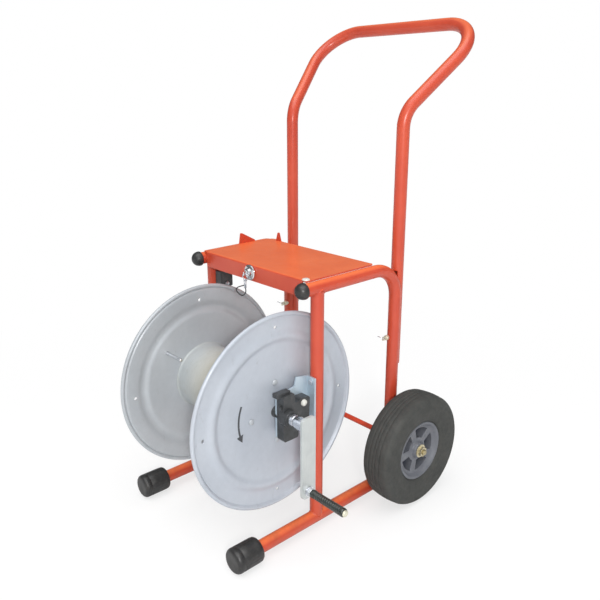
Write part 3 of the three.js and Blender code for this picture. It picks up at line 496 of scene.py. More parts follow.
MATERIALS = {
    "paint": paint_material(),
    "axle": axle_material(),
    "cap": rubber_material(
        "cap_rubber", base=(0.020, 0.020, 0.021), dusty=0.22, rough=(0.34, 0.50), spec=0.5
    ),
    "tyre": rubber_material(
        "tyre_rubber", base=(0.049, 0.051, 0.049), dusty=0.28, rough=(0.62, 0.86), spec=0.35
    ),
    "zinc": zinc_material(
        "bright_zinc", light=(0.60, 0.62, 0.66), dark=(0.40, 0.42, 0.46), rough=(0.24, 0.42)
    ),
    "plate": plate_material(
        "galvanised_plate",
        light=(0.61, 0.71, 0.79),
        dark=(0.48, 0.58, 0.66),
        rough=(0.36, 0.50),
        metal=0.50,
    ),
    "arm": plate_material(
        "crank_plate",
        light=(0.62, 0.65, 0.64),
        dark=(0.52, 0.55, 0.55),
        rough=(0.34, 0.46),
        metal=0.45,
    ),
    "yellow": zinc_material(
        "yellow_zinc",
        light=(0.66, 0.60, 0.42),
        dark=(0.42, 0.37, 0.25),
        rough=(0.24, 0.42),
        metal=0.75,
    ),
    "cream": zinc_material(
        "pale_zinc",
        light=(0.74, 0.72, 0.58),
        dark=(0.60, 0.57, 0.44),
        rough=(0.26, 0.40),
        metal=0.55,
    ),
    "white": plate_material(
        "white_passivated",
        light=(0.86, 0.86, 0.80),
        dark=(0.74, 0.74, 0.69),
        rough=(0.22, 0.36),
        metal=0.15,
    ),
    "bright": zinc_material(
        "bright_plated", light=(0.78, 0.80, 0.84), dark=(0.58, 0.60, 0.64), rough=(0.16, 0.30)
    ),
    # The near flange's copy is painted lighter and bluer than the far flange's: painted light on
    # the near flange and painted shade on the far one. The near copy also carries the arrow.
    "reel": reel_material(
        "reel_grey_paint", light=(0.500, 0.530, 0.560), dark=(0.430, 0.460, 0.490)
    ),
    "reel_lit_marked": reel_material(
        "reel_grey_paint_lit_marked",
        light=(0.515, 0.553, 0.612),
        dark=(0.443, 0.482, 0.545),
        arrow=True,
    ),
    "drum": drum_material(),
    "casting": casting_material("black_casting", base=(0.034, 0.036, 0.038), grit=0.4),
    "grip": casting_material(
        "grip_rubber", base=(0.016, 0.020, 0.017), grit=0.12, rough=(0.22, 0.34), coat=0.35
    ),
    "wire": casting_material("black_wire", base=(0.018, 0.018, 0.020), grit=0.15),
    "hub": hub_material(),
    "chrome": chrome_material(),
    "brass": brass_material(),
}

# ---------------------------------------------------------------- mesh builders


def add_object(name, data):
    obj = bpy.data.objects.new(name, data)
    bpy.context.scene.collection.objects.link(obj)
    return obj


def add_bevel(obj, width, angle):
    """Round the edges sharper than angle (degrees); width in mm."""
    bevel = obj.modifiers.new("edge", "BEVEL")
    bevel.width = width * MM
    bevel.segments = 2
    bevel.limit_method = "ANGLE"
    bevel.angle_limit = math.radians(angle)


def add_flat_shading(obj):
    """Keep flat faces flat between rounded edges."""
    flat = obj.modifiers.new("flat", "WEIGHTED_NORMAL")
    flat.keep_sharp = True
    flat.weight = 60


def build_mesh(name, verts, faces):
    mesh = bpy.data.meshes.new(name)
    mesh.from_pydata([tuple(vert) for vert in verts], [], faces)
    mesh.update()
    return mesh


def face_outward(mesh, smooth=None):
    """Point the faces outward; shade smooth across edges under smooth degrees, if given."""
    edit = bmesh.new()
    edit.from_mesh(mesh)
    bmesh.ops.recalc_face_normals(edit, faces=edit.faces)
    if smooth is not None:
        for face in edit.faces:
            face.smooth = True
        for edge in edit.edges:
            if len(edge.link_faces) == 2:
                edge.smooth = edge.calc_face_angle(0.0) < math.radians(smooth)
    edit.to_mesh(mesh)
    edit.free()
    return mesh


def finish(name, mesh, material, body, replaces=None, smooth=35.0, bevel=0.0):
    face_outward(mesh, smooth)
    obj = add_object(name, mesh)
    mesh.materials.append(MATERIALS[material])
    if bevel:
        add_bevel(obj, bevel, angle=38)
        add_flat_shading(obj)
    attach(obj, body)
    if replaces:
        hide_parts(replaces)
    return obj


def on_axis(axis, along, u, v):
    """Distance along an axis and two across it, as (x, y, z)."""
    return {"x": (along, u, v), "y": (u, along, v), "z": (u, v, along)}[axis]


def revolve(profile, seg, place):
    """A skin round an axis, as (verts, faces).

    Profile rows are (radius, distance along the axis); radius 0 is a single point.
    place(radius, along, angle) gives each vertex.
    """
    verts, rings, faces = [], [], []
    for radius, along in profile:
        count = seg if radius else 1
        rings.append(range(len(verts), len(verts) + count))
        verts += [place(radius, along, 2 * math.pi * i / seg) for i in range(count)]
    pairs = list(zip(rings, rings[1:]))
    if len(rings[0]) > 1 or len(rings[-1]) > 1:
        pairs.append((rings[-1], rings[0]))
    for ring, after in pairs:
        for i in range(seg):
            j = (i + 1) % seg
            if len(ring) == 1:
                faces.append((ring[0], after[j], after[i]))
            elif len(after) == 1:
                faces.append((ring[i], ring[j], after[0]))
            else:
                faces.append((ring[i], ring[j], after[j], after[i]))
    return verts, faces


def lathe(name, profile, axis, centre, material, body, replaces=None, seg=96,
          smooth=35.0):
    """A turned piece; profile rows are (radius, distance along the axis from centre)."""

    def place(radius, along, angle):
        offset = on_axis(axis, along, radius * math.cos(angle), radius * math.sin(angle))
        return point(*(start + move for start, move in zip(centre, offset)))

    mesh = build_mesh(name, *revolve(profile, seg, place))
    return finish(name, mesh, material, body, replaces, smooth)


def lathe_blank(name, profile, centre, material, body, seg):
    """The bare mesh of a piece turned about X, for cutting."""
    obj = lathe(name, profile, "x", centre, material, body, seg=seg, smooth=None)
    mesh = obj.data.copy()
    bpy.data.objects.remove(obj)
    return mesh


def bent_line(points, radii, steps):
    """A line through points, each inner corner rounded by its radius."""
    points = [Vector(place) for place in points]
    line = [points[0].copy()]
    for before, corner, after, radius in zip(points, points[1:], points[2:], radii):
        back, ahead = (before - corner).normalized(), (after - corner).normalized()
        half = back.angle(ahead) / 2
        trim = radius / math.tan(half)
        centre = corner + (back + ahead).normalized() * (radius / math.sin(half))
        start = (corner + back * trim - centre).normalized()
        end = (corner + ahead * trim - centre).normalized()
        full = start.angle(end)
        square = (end - start * end.dot(start)).normalized()
        for j in range(steps + 1):
            angle = full * j / steps
            line.append(
                centre + start * (radius * math.cos(angle)) + square * (radius * math.sin(angle))
            )
    line.append(points[-1].copy())
    return line


def densify(line, step):
    """The same line with no piece longer than step."""
    dense = [line[0]]
    for start, end in zip(line, line[1:]):
        count = max(1, int(math.ceil((end - start).length / step)))
        dense += [start.lerp(end, i / count) for i in range(1, count + 1)]
    return dense


def catmull(points, steps):
    """A smooth curve through the points."""
    points = [Vector(place) for place in points]
    points = [points[0] * 2 - points[1], *points, points[-1] * 2 - points[-2]]
    curve = []
    for p0, p1, p2, p3 in zip(points, points[1:], points[2:], points[3:]):
        for j in range(steps):
            t = j / steps
            curve.append(
                0.5
                * (
                    (2 * p1)
                    + (p2 - p0) * t
                    + (2 * p0 - 5 * p1 + 4 * p2 - p3) * t * t
                    + (3 * p1 - p0 - 3 * p2 + p3) * t**3
                )
            )
    curve.append(points[-2])
    return curve


def circle(radius, count=48):
    """Pairs round a circle."""
    angles = [2 * math.pi * i / count for i in range(count)]
    return [(radius * math.cos(angle), radius * math.sin(angle)) for angle in angles]


def square_to(tangent):
    """A unit vector square to the tangent, upward where it can be."""
    up = Vector((0, 0, 1)) if abs(tangent.z) < 0.9 else Vector((0, 1, 0))
    return (up - tangent * up.dot(tangent)).normalized()


def ring_verts(centre, tangent, normal, radius, seg):
    side = tangent.cross(normal)
    verts = []
    for k in range(seg):
        angle = 2 * math.pi * k / seg
        across = normal * (radius * math.cos(angle))
        verts.append(point(*(centre + across + side * (radius * math.sin(angle)))))
    return verts


def tube_faces(rings, seg, closed, start=0, flip=False):
    """Quads between rings of seg vertices, the first vertex being start."""
    faces = []
    for i in range(rings if closed else rings - 1):
        here = start + i * seg
        after = start + ((i + 1) % rings) * seg
        for k in range(seg):
            j = (k + 1) % seg
            face = (here + k, here + j, after + j, after + k)
            faces.append((face[0], face[3], face[2], face[1]) if flip else face)
    return faces


def sweep_skin(line, radius, wall=0.0, seg=40, closed=False):
    """A rod, or a tube if it has a wall, along a line in mm, as (verts, faces)."""
    line = [Vector(place) for place in line]
    count = len(line)
    tangents = []
    for i, here in enumerate(line):
        before = line[i - 1] if i > 0 or closed else here
        after = line[(i + 1) % count] if i < count - 1 or closed else here
        tangents.append(((here - before).normalized() + (after - here).normalized()).normalized())
    # Carry the first normal along the line without twist.
    normal = square_to(tangents[0])
    normals = [normal]
    for before, tangent in zip(tangents, tangents[1:]):
        normal = before.rotation_difference(tangent) @ normal
        normal = (normal - tangent * normal.dot(tangent)).normalized()
        normals.append(normal)

    def skin(skin_radius):
        verts = []
        for centre, tangent, normal in zip(line, tangents, normals):
            verts += ring_verts(centre, tangent, normal, skin_radius, seg)
        return verts

    verts = skin(radius)
    faces = tube_faces(count, seg, closed)
    last = (count - 1) * seg
    if wall:
        inner = len(verts)
        verts += skin(radius - wall)
        faces += tube_faces(count, seg, closed, start=inner, flip=True)
        for end in (0, last):
            for k in range(seg):
                j = (k + 1) % seg
                face = (end + k, end + j, inner + end + j, inner + end + k)
                faces.append(face if end == 0 else face[::-1])
    elif not closed:
        faces.append(tuple(range(seg)))
        faces.append(tuple(last + k for k in reversed(range(seg))))
    return verts, faces


def sweep(name, line, radius, material, body, replaces, wall=0.0, seg=40, closed=False,
          cuts=()):
    mesh = build_mesh(name, *sweep_skin(line, radius, wall, seg, closed))
    if cuts:
        mesh = boolean(mesh, cuts)
    finish(name, mesh, material, body, replaces)


def frame_tube(name, line, replaces, cuts=()):
    """A painted tube of the frame."""
    sweep(name, line, TUBE_R, "paint", "frame", replaces, TUBE_WALL, cuts=cuts)


def boolean(mesh, others, operation="DIFFERENCE"):
    """The mesh less (or joined with) each of the others, exactly."""
    target = add_object("bool_a", face_outward(mesh))
    helpers = []
    for other in others:
        helper = add_object("bool_b", other)
        modifier = target.modifiers.new("cut", "BOOLEAN")
        modifier.operation = operation
        modifier.solver = "EXACT"
        modifier.object = helper
        helpers.append(helper)
    depsgraph = bpy.context.evaluated_depsgraph_get()
    result = bpy.data.meshes.new_from_object(target.evaluated_get(depsgraph))
    for obj in [target, *helpers]:
        bpy.data.objects.remove(obj)
    return result


def sweep_cutter(line, radius, seg=40):
    return face_outward(build_mesh("tmp", *sweep_skin(line, radius, seg=seg)))


def rod_mesh(axis, radius, start, end, centre, seg=40):
    """A solid rod from start to end along an axis, measured from centre."""
    line = [Vector(centre) + Vector(on_axis(axis, along, 0, 0)) for along in (start, end)]
    return sweep_cutter(line, radius, seg)


def prism_mesh(outline, axis, start, end):
    """An outline of mm pairs, the other two axes in x, y, z order, drawn out along axis."""
    verts = [point(*on_axis(axis, along, u, v)) for along in (start, end) for u, v in outline]
    count = len(outline)
    faces = [tuple(range(count)), tuple(range(2 * count - 1, count - 1, -1))]
    for i in range(count):
        j = (i + 1) % count
        faces.append((i, i + count, j + count, j))
    return face_outward(build_mesh("tmp", verts, faces))


def rounded(corners, steps):
    """An outline of (u, v) pairs from rows of (u, v, corner radius)."""
    outline = []
    for i, (u, v, radius) in enumerate(corners):
        corner = Vector((u, v))
        if not radius:
            outline.append(tuple(corner))
            continue
        back = (Vector(corners[i - 1][:2]) - corner).normalized()
        ahead = (Vector(corners[(i + 1) % len(corners)][:2]) - corner).normalized()
        half = math.acos(max(-1, min(1, back.dot(ahead)))) / 2
        trim = radius / math.tan(half)
        centre = corner + (back + ahead).normalized() * (radius / math.sin(half))
        start = corner + back * trim
        end = corner + ahead * trim
        first = math.atan2(start.y - centre.y, start.x - centre.x)
        turn = math.atan2(end.y - centre.y, end.x - centre.x) - first
        # Go the short way round.
        if turn > math.pi:
            turn -= 2 * math.pi
        if turn < -math.pi:
            turn += 2 * math.pi
        for j in range(steps + 1):
            angle = first + turn * j / steps
            outline.append(
                (centre.x + radius * math.cos(angle), centre.y + radius * math.sin(angle))
            )
    return outline


# ---------------------------------------------------------------- frame


def weld_bead(name, x, y, z, above, seed):
    """A painted ripple of weld where a post at (x, y) meets a tube along Y at height z."""
    count, seg = 56, 10
    bead_r = 1.5
    ripple, ripple_turn, scatter = 0.16, 2.1, 0.08
    # The saddle is flattened this close to the sides of the tube.
    widest = TUBE_R * 0.985
    saddle = []
    for dx, dy in circle(TUBE_R, count):
        dz = math.sqrt(max(TUBE_R**2 - min(dx * dx, widest**2), 0.0))
        saddle.append(Vector((x + dx, y + dy, z + (dz if above else -dz))))
    draws = random.Random(seed)
    verts = []
    for i, centre in enumerate(saddle):
        tangent = (saddle[(i + 1) % count] - saddle[i - 1]).normalized()
        wave = ripple * math.sin(i * ripple_turn)
        radius = bead_r * (1.0 + wave + draws.uniform(-scatter, scatter))
        verts += ring_verts(centre, tangent, square_to(tangent), radius, seg)
    mesh = build_mesh(name, verts, tube_faces(count, seg, closed=True))
    finish(name, mesh, "paint", "frame", smooth=80)


def frame_side(side, sign):
    """One side: the bent rail, its front post, the base tube and the welds."""
    x = sign * SIDE_X
    joint_r = TUBE_R + 0.15  # joined tubes are cut back to this radius
    max_step = 60
    sunk = 6  # a post's ends run this far past the centre planes of its tubes
    rail = [(x, -266, RAIL_Z), (x, 0, RAIL_Z), (x, 0, BASE_Z + 7)]
    cuts = [
        rod_mesh("y", joint_r, -60, 60, (x, 0, BASE_Z)),
        rod_mesh("x", AXLE_R + GAP, -30, 30, (x, 0, WHEEL_R)),
        rod_mesh("y", PIN_HOLE_R, -30, 30, (sign * HANDLE_X, 0, HANDLE_PIN_Z)),
    ]
    if side == "right":
        cuts.append(rod_mesh("z", BOLT_HOLE_R, 525, 560, (*DECK_BOLT, 0)))
    frame_tube(
        f"frame_side_tube_{side}",
        densify(bent_line(rail, [RAIL_BEND_R], 24), max_step),
        f"side_tube_{side}",
        cuts,
    )
    post = [Vector((x, POST_Y, BASE_Z + sunk)), Vector((x, POST_Y, RAIL_Z - sunk))]
    frame_tube(
        f"frame_front_post_{side}",
        densify(post, max_step),
        f"front_post_{side}",
        [
            rod_mesh("y", joint_r, -300, -180, (x, 0, BASE_Z)),
            rod_mesh("y", joint_r, -300, -180, (x, 0, RAIL_Z)),
            # Hole in the post's front wall.
            rod_mesh("y", BOLT_HOLE_R, -250, -225, (sign * 172, 0, 340)),
        ],
    )
    base = [Vector((x, -446, BASE_Z)), Vector((x, 22, BASE_Z))]
    frame_tube(f"frame_base_tube_{side}", densify(base, max_step), f"base_tube_{side}")
    weld_bead(f"weld_post_foot_{side}", x, POST_Y, BASE_Z, above=True, seed=3)
    weld_bead(f"weld_post_head_{side}", x, POST_Y, RAIL_Z, above=False, seed=4)
    weld_bead(f"weld_rear_foot_{side}", x, 0, BASE_Z, above=True, seed=5)


def push_handle():
    """One tube: up both sides, back and out, and across the top."""
    # Corners of the right half: x, y, z.
    right = [(HANDLE_X, HANDLE_Y, 307), (HANDLE_X, HANDLE_Y, 842.4), (234.7, 193.5, 1017.3)]
    corners = right + [(-x, y, z) for x, y, z in reversed(right)]
    cuts = []
    for _, sign in SIDES:
        x = sign * SIDE_X
        # The lower ends are cut to lie against the side tubes.
        rail = [(x, -200, RAIL_Z), (x, 0, RAIL_Z), (x, 0, 280)]
        trim = [(x - 20, -16), (x + 20, -16), (x + 20, 0.5), (x - 20, 0.5)]
        cuts += [
            sweep_cutter(bent_line(rail, [RAIL_BEND_R], 24), TUBE_R + GAP),
            prism_mesh(trim, "z", 280, 520),
            rod_mesh("y", PIN_HOLE_R, -30, 40, (sign * HANDLE_X, 0, HANDLE_PIN_Z)),
        ]
    line = densify(bent_line(corners, [67.5, 83.3, 83.3, 67.5], 20), 50)
    frame_tube("push_handle", line, "handle", cuts)


# CAD pieces shown with their own mesh: material, bevel in mm, pieces.
DRESSED = (
    ("white", 0.0, "deck_corner_bolt"),
    ("casting", 0.8, "under_deck_block"),
    ("zinc", 0.0, "under_deck_screw"),
    ("zinc", 0.4, "axle_spacer_right", "axle_spacer_left"),
    ("yellow", 0.5, "axle_nut_right", "axle_nut_left"),
    ("plate", 0.5, "bearing_bracket_right", "bearing_bracket_left"),
    ("white", 0.0, "bearing_bolt_right", "bearing_bolt_left"),
    ("zinc", 0.4, "bracket_bolt_right", "bracket_bolt_left"),
    ("casting", 0.4, "bearing_set_screw"),
    ("cream", 0.3, "handle_lock_pin_right", "handle_lock_pin_left"),
    ("chrome", 0.3, "front_pull_pin"),
    ("zinc", 0.0, "lanyard_ferrule"),
    ("casting", 0.5, "reel_hub_right", "reel_hub_left"),
    ("chrome", 0.3, "hose_anchor_stud"),
    ("bright", 0.3, "crank_boss"),
    ("bright", 0.5, "grip_nut_inner", "grip_nut_outer"),
    ("bright", 0.3, "grip_washer"),
    ("cream", 0.3, "grip_bolt"),
    ("brass", 0.4, "inlet_swivel"),
    ("reel", 0.3, "flange_bolt_1", "flange_bolt_2", "flange_bolt_3", "flange_bolt_4"),
    ("casting", 1.0, "bearing_block_right", "bearing_block_left"),
    ("arm", 0.9, "crank_arm"),
)


def smooth_group(angle):
    """Geometry nodes that shade smooth across edges under the angle in degrees."""
    group = bpy.data.node_groups.new(f"smooth_{angle:g}", "GeometryNodeTree")
    for direction in ("INPUT", "OUTPUT"):
        group.interface.new_socket(
            "Geometry", in_out=direction, socket_type="NodeSocketGeometry"
        )
    source = group.nodes.new("NodeGroupInput")
    result = group.nodes.new("NodeGroupOutput")
    edge_angle = group.nodes.new("GeometryNodeInputMeshEdgeAngle")
    compare = group.nodes.new("FunctionNodeCompare")
    compare.data_type = "FLOAT"
    compare.operation = "LESS_THAN"
    compare.inputs[1].default_value = math.radians(angle)
    faces = group.nodes.new("GeometryNodeSetShadeSmooth")
    faces.domain = "FACE"
    edges = group.nodes.new("GeometryNodeSetShadeSmooth")
    edges.domain = "EDGE"
    link = group.links.new
    link(edge_angle.outputs[0], compare.inputs[0])
    link(source.outputs[0], faces.inputs["Geometry"])
    link(faces.outputs[0], edges.inputs["Geometry"])
    link(compare.outputs[0], edges.inputs["Shade Smooth"])
    link(edges.outputs[0], result.inputs[0])
    return group


def dress_cad_pieces():
    """Give the CAD meshes a material, welded corners, soft edges and smooth shading."""
    group = smooth_group(35.0)
    for material, bevel, *pieces in DRESSED:
        for piece in pieces:
            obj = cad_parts[piece]
            obj.data.materials.clear()
            obj.data.materials.append(MATERIALS[material])
            obj.modifiers.new("weld", "WELD").merge_threshold = 2e-6
            if bevel:
                add_bevel(obj, bevel, angle=40)
            obj.modifiers.new("smooth", "NODES").node_group = group
            if bevel:
                add_flat_shading(obj)


def deck():
    """One folded sheet: the top, a lip down its front and two standing tabs."""
    half_x, rear_y = 168, -71.5
    underside = DECK_TOP - DECK_SHEET
    # Rows: x, y, corner radius.
    plan = [
        (-half_x, -257.7, 5), (-157.4, -257.7, 1.0), (-157.4, -250, 1.2), (157.4, -250, 1.2),
        (157.4, -257.7, 1.0), (half_x, -257.7, 5), (half_x, rear_y, 4), (-half_x, rear_y, 12),
    ]
    mesh = prism_mesh(rounded(plan, 8), "z", underside, DECK_TOP)

    # Section of the front lip, (y, z): down the outside and back up the inside.
    bend_r = 4
    bend_y, bend_z = -254, DECK_TOP - bend_r
    front_y, lip_z, joint_y = bend_y - bend_r, 513, -235
    inner_r = bend_r - DECK_SHEET
    lip = [(joint_y, DECK_TOP), (bend_y, DECK_TOP)]
    for i in range(1, 11):
        angle = math.radians(90 * i / 10)
        lip.append((bend_y - bend_r * math.sin(angle), bend_z + bend_r * math.cos(angle)))
    lip += [(front_y, lip_z), (front_y + DECK_SHEET, lip_z)]
    for i in range(5):
        angle = math.radians(90 * i / 4)
        lip.append((bend_y - inner_r * math.cos(angle), bend_z + inner_r * math.sin(angle)))
    lip.append((joint_y, underside))

    # Rows: y or x, z, corner radius.
    left_tab = [
        (-158, DECK_TOP - 1, 0), (-112, DECK_TOP - 1, 0), (-112, DECK_TOP + 3, 2),
        (-149, DECK_TOP + 23.5, 6), (-154, DECK_TOP + 24, 2.5),
    ]
    rear_tab = [
        (-133, DECK_TOP - 1, 0), (-116, DECK_TOP - 1, 0),
        (-122, DECK_TOP + 20, 2.2), (-127, DECK_TOP + 20, 2.2),
    ]
    adds = [
        prism_mesh(lip, "x", -155.5, 155.5),
        prism_mesh(rounded(left_tab, 5), "x", -half_x, -half_x + DECK_SHEET),
        prism_mesh(rounded(rear_tab, 5), "y", rear_y - DECK_SHEET, rear_y),
    ]
    mesh = boolean(mesh, adds, "UNION")
    cuts = [
        rod_mesh("z", BOLT_HOLE_R, 530, 560, (*DECK_BOLT, 0)),
        # Shallow seat round the corner bolt.
        rod_mesh("z", 8.3, DECK_TOP - 0.5, 560, (*DECK_BOLT, 0)),
        rod_mesh("y", PIN_HOLE_R, -270, -240, (0, 0, FRONT_PIN_Z)),
    ]
    mesh = boolean(mesh, cuts)
    finish(
        "deck_sheet", mesh, "paint", "frame", "deck_plate", smooth=30, bevel=0.5
    )


def rod_profile(radius, tip_radius, start, end):
    """A solid rod with 1 mm long chamfers."""
    return [
        (0, start), (tip_radius, start), (radius, start + 1),
        (radius, end - 1), (tip_radius, end), (0, end),
    ]


def axle_and_shaft():
    lathe(
        "axle_rod", rod_profile(AXLE_R, 5, -272, 272), "x", (0, 0, WHEEL_R),
        "axle", "frame", "axle", seg=40,
    )
    lathe(
        "reel_axle_shaft", rod_profile(9.5, 8.6, -206, CRANK_X - 2.3), "x",
        (0, REEL_Y, REEL_Z), "zinc", "reel", "reel_shaft", seg=48,
    )


# ---------------------------------------------------------------- rubber caps

# Foot cap: (radius, y).
FOOT_PROFILE = [
    (0, -454.4), (10, -454.6), (17.5, -455), (21, -454.4), (23.4, -452.8), (25.2, -450.4),
    (26, -447), (26, -441), (25.5, -440.2), (25.5, -438.8), (26, -438), (26, -425),
    (26, -412), (25.8, -401), (25.2, -396), (23.9, -393.7), (22.4, -393), (14.4, -393),
    (13.6, -394), (13.6, -446.3), (0, -446.3),
]

# Plug in the front end of a rail: (radius, y).
PLUG_PROFILE = [
    (0, -285.5), (3, -285.3), (6.5, -284.3), (9.8, -282.6), (12.3, -280.3), (14.2, -277.4),
    (15.5, -273.8), (16.1, -270.6), (16.2, -268.2), (15.9, -266.9), (15.2, -266.3),
    (11, -266.3), (11, -260), (9.8, -258), (0, -258),
]


def foot_cap(side, x):
    """Fine moulded ribs round the barrel and a flat underneath."""
    ribs, rib_depth = 24, 0.30
    rib_start, rib_end, rib_min_r = -437, -396, 25.0
    floor_z = 0.02

    def place(radius, y, angle):
        if radius >= rib_min_r and rib_start < y < rib_end:
            radius -= rib_depth * (0.5 + 0.5 * math.cos(ribs * angle))
        z = max(BASE_Z + radius * math.sin(angle), floor_z)
        return point(x + radius * math.cos(angle), y, z)

    name = f"rubber_foot_{side}"
    mesh = build_mesh(name, *revolve(FOOT_PROFILE, 120, place))
    finish(name, mesh, "cap", "frame", f"foot_cap_{side}", smooth=50)


def rubber_caps():
    for side, sign in SIDES:
        x = sign * SIDE_X
        foot_cap(side, x)
        lathe(
            f"rail_end_plug_{side}", PLUG_PROFILE, "y", (x, 0, RAIL_Z),
            "cap", "frame", f"rail_cap_{side}", seg=64, smooth=45,
        )


# ---------------------------------------------------------------- rings and lanyard

# The lanyard's wire: x, distance behind the front ring's plane, z.
LANYARD = [
    (0.5, 0, 499.6), (1.5, 0, 494), (-1, 0, 488), (-12, 1, 481), (-26, 2, 482),
    (-35, 3, 488), (-30, 2, 494), (-17, 1, 500), (-4, 0, 505),
]


def pull_ring(side, sign):
    """A ring that hangs tilted forward from a handle pin."""
    tilt = Matrix.Rotation(-0.46, 3, "X")
    pin = Vector((sign * HANDLE_X, -25.5, HANDLE_PIN_Z))
    line = []
    for x, y in circle(8.6):
        offset = Vector((x, y - 8.9, 0))
        offset.rotate(tilt)
        line.append(pin + offset)
    sweep(
        f"pull_ring_{side}", line, 0.75, "bright", f"handle_pin_{side}",
        f"handle_pin_ring_{side}", seg=14, closed=True,
    )


def front_ring_and_wire():
    line = [Vector((x, FRONT_RING_Y, FRONT_PIN_Z - 7.6 + z)) for x, z in circle(7.5)]
    sweep(
        "front_ring", line, 1.0, "zinc", "front_pin", "front_pin_ring",
        seg=14, closed=True,
    )
    wire = catmull([(x, FRONT_RING_Y + behind, z) for x, behind, z in LANYARD], 8)
    sweep(
        "wire_loop", wire, 1.1, "wire", "front_pin", "lanyard_wire", seg=12
    )


# ---------------------------------------------------------------- wheels

# Profiles are (radius, distance outward from the wheel's middle plane).
TYRE_WALL = [
    (67.3, 26), (70, 28.6), (73, 30.2), (76, 31.2), (78, 32.2), (80, 32.4), (82, 32.2),
    (84, 32.9), (92, 34.1), (99, 34.7), (106, 34.6), (110, 34.3), (112, 34.7),
    (114.5, 34.5), (118, 33.2), (121.3, 30.6), (123.6, 27.6), (125, 24.6),
]

# Tread ribs: start and end across the tyre.
TREAD_RIBS = [(-22, -14), (-12.4, -4.4), (-2.8, 2.8), (4.4, 12.4), (14, 22)]

HUB_PROFILE = [
    (AXLE_R + GAP, 26), (13.2, 26), (14.4, 25.8), (16.2, 25.0), (17.0, 23.9), (18.2, 20.0),
    (19.4, 18.2), (22, 17.0), (25, 16.5), (36, 17.0), (49, 17.4), (53, 18.4), (56.2, 20.4),
    (58.8, 23.2), (60.4, 25.2), (62, 26.4), (63.6, 27.0), (65, 27.2), (66.4, 26.6),
    (67, 25), (67, -25), (66, -27), (62, -27), (58, -14), (50, -9.5), (24, -11),
    (17, -26), (AXLE_R + GAP, -26),
]


def tread_profile():
    """Five ribs on a slight crown with grooves between them."""
    shoulder, shoulder_drop = 0.6, 0.3
    groove_inset, groove_depth = 0.5, 1.3

    def crown(across):
        return WHEEL_R - 0.0036 * across * across

    tread = []
    for start, end in TREAD_RIBS:
        tread += [
            (crown(start) - groove_depth, start - groove_inset),
            (crown(start) - shoulder_drop, start),
            (crown(start), start + shoulder),
            (crown(end), end - shoulder),
            (crown(end) - shoulder_drop, end),
            (crown(end) - groove_depth, end + groove_inset),
        ]
    # No grooves outside the end ribs.
    return tread[1:-1]


def pocket_arc(radius, middle, half, steps):
    """Points (y, z) on an arc round the axle."""
    angles = [middle - half + 2 * half * j / steps for j in range(steps + 1)]
    return [
        Vector((radius * math.cos(angle), WHEEL_R + radius * math.sin(angle)))
        for angle in angles
    ]


def wheel(side, sign):
    body = f"wheel_{side}"
    centre = (0, 0, WHEEL_R)

    def across_cart(profile):
        return [(radius, sign * (WHEEL_C + out)) for radius, out in profile]

    inner_wall = [(radius, -out) for radius, out in reversed(TYRE_WALL)]
    tyre = TYRE_WALL + tread_profile()[::-1] + inner_wall
    lathe(
        f"rubber_tyre_{side}", across_cart(tyre), "x", centre, "tyre", body,
        f"tyre_{side}", seg=160, smooth=50,
    )

    hub = lathe_blank(f"hub_tmp_{side}", across_cart(HUB_PROFILE), centre, "hub", body, 120)
    # Five pockets in the outer face.
    half = math.radians(25)
    pockets = []
    for i in range(5):
        middle = math.radians(3 + 72 * i)
        outline = pocket_arc(51, middle, half, 12)
        outline += reversed(pocket_arc(27, middle, half * 0.8, 8))
        pockets.append(
            prism_mesh(outline, "x", sign * (WHEEL_C - 6.5), sign * (WHEEL_C + 30))
        )
    finish(
        f"wheel_hub_{side}", boolean(hub, pockets), "hub", body,
        f"wheel_rim_{side}", bevel=0.7,
    )


# ---------------------------------------------------------------- reel

# Outer face of a flange: (radius, distance outward from the rim's plane).
FLANGE_FACE = [
    (12.3, -WEB_DISH), (30, -WEB_DISH), (60, -WEB_DISH), (100, -WEB_DISH), (125, -WEB_DISH),
    (136, -WEB_DISH), (139, -3.5), (141, -3.2), (143.5, -2.4), (146, -1.1), (148.5, 0.1),
    (151, 0.9), (153.5, 1.25), (156, 1.15), (158.5, 0.6), (161, -0.4), (164, -1.5),
    (167, -2.2), (171, -2.45), (178, -2.3), (186, -2.1), (190.7, -1.9), (192.6, -1.5),
]

# Flare at each end of the drum: (added radius, distance from the end).
DRUM_FLARE = [(4, 0), (2.6, 0.4), (1.6, 1.2), (0.8, 2.6), (0.3, 4.2), (0, 6)]


def reel_flange(side, sign, plane, material, turn, ring_r):
    """A dished disc with a rolled rim and four holes at ring_r, turned by turn degrees."""
    roll_r = 4.2
    roll = []
    for i in range(19):
        angle = math.radians(155 - i * 310 / 18)
        roll.append((FLANGE_R - roll_r + roll_r * math.cos(angle), roll_r * math.sin(angle)))
    inner = [(radius, out - FLANGE_SHEET) for radius, out in reversed(FLANGE_FACE)]
    profile = [(radius, plane + sign * out) for radius, out in FLANGE_FACE + roll + inner]
    blank = lathe_blank(f"fl_{side}", profile, (0, REEL_Y, REEL_Z), material, "reel", 180)

    def hole(radius, y, z):
        return rod_mesh("x", radius, plane - 20, plane + 20, (0, y, z), 24)

    def four_holes(radius, ring, first):
        angles = [math.radians(first + 90 * i) for i in range(4)]
        return [
            hole(radius, REEL_Y + ring * math.cos(angle), REEL_Z + ring * math.sin(angle))
            for angle in angles
        ]

    cuts = four_holes(3.4, ring_r, turn)
    if side == "right":
        cuts += four_holes(BOLT_HOLE_R, 62, 92)
    else:
        cuts.append(hole(4.3, -409, 364))
    finish(
        f"reel_disc_{side}", boolean(blank, cuts), material, "reel",
        f"reel_flange_{side}", smooth=38,
    )


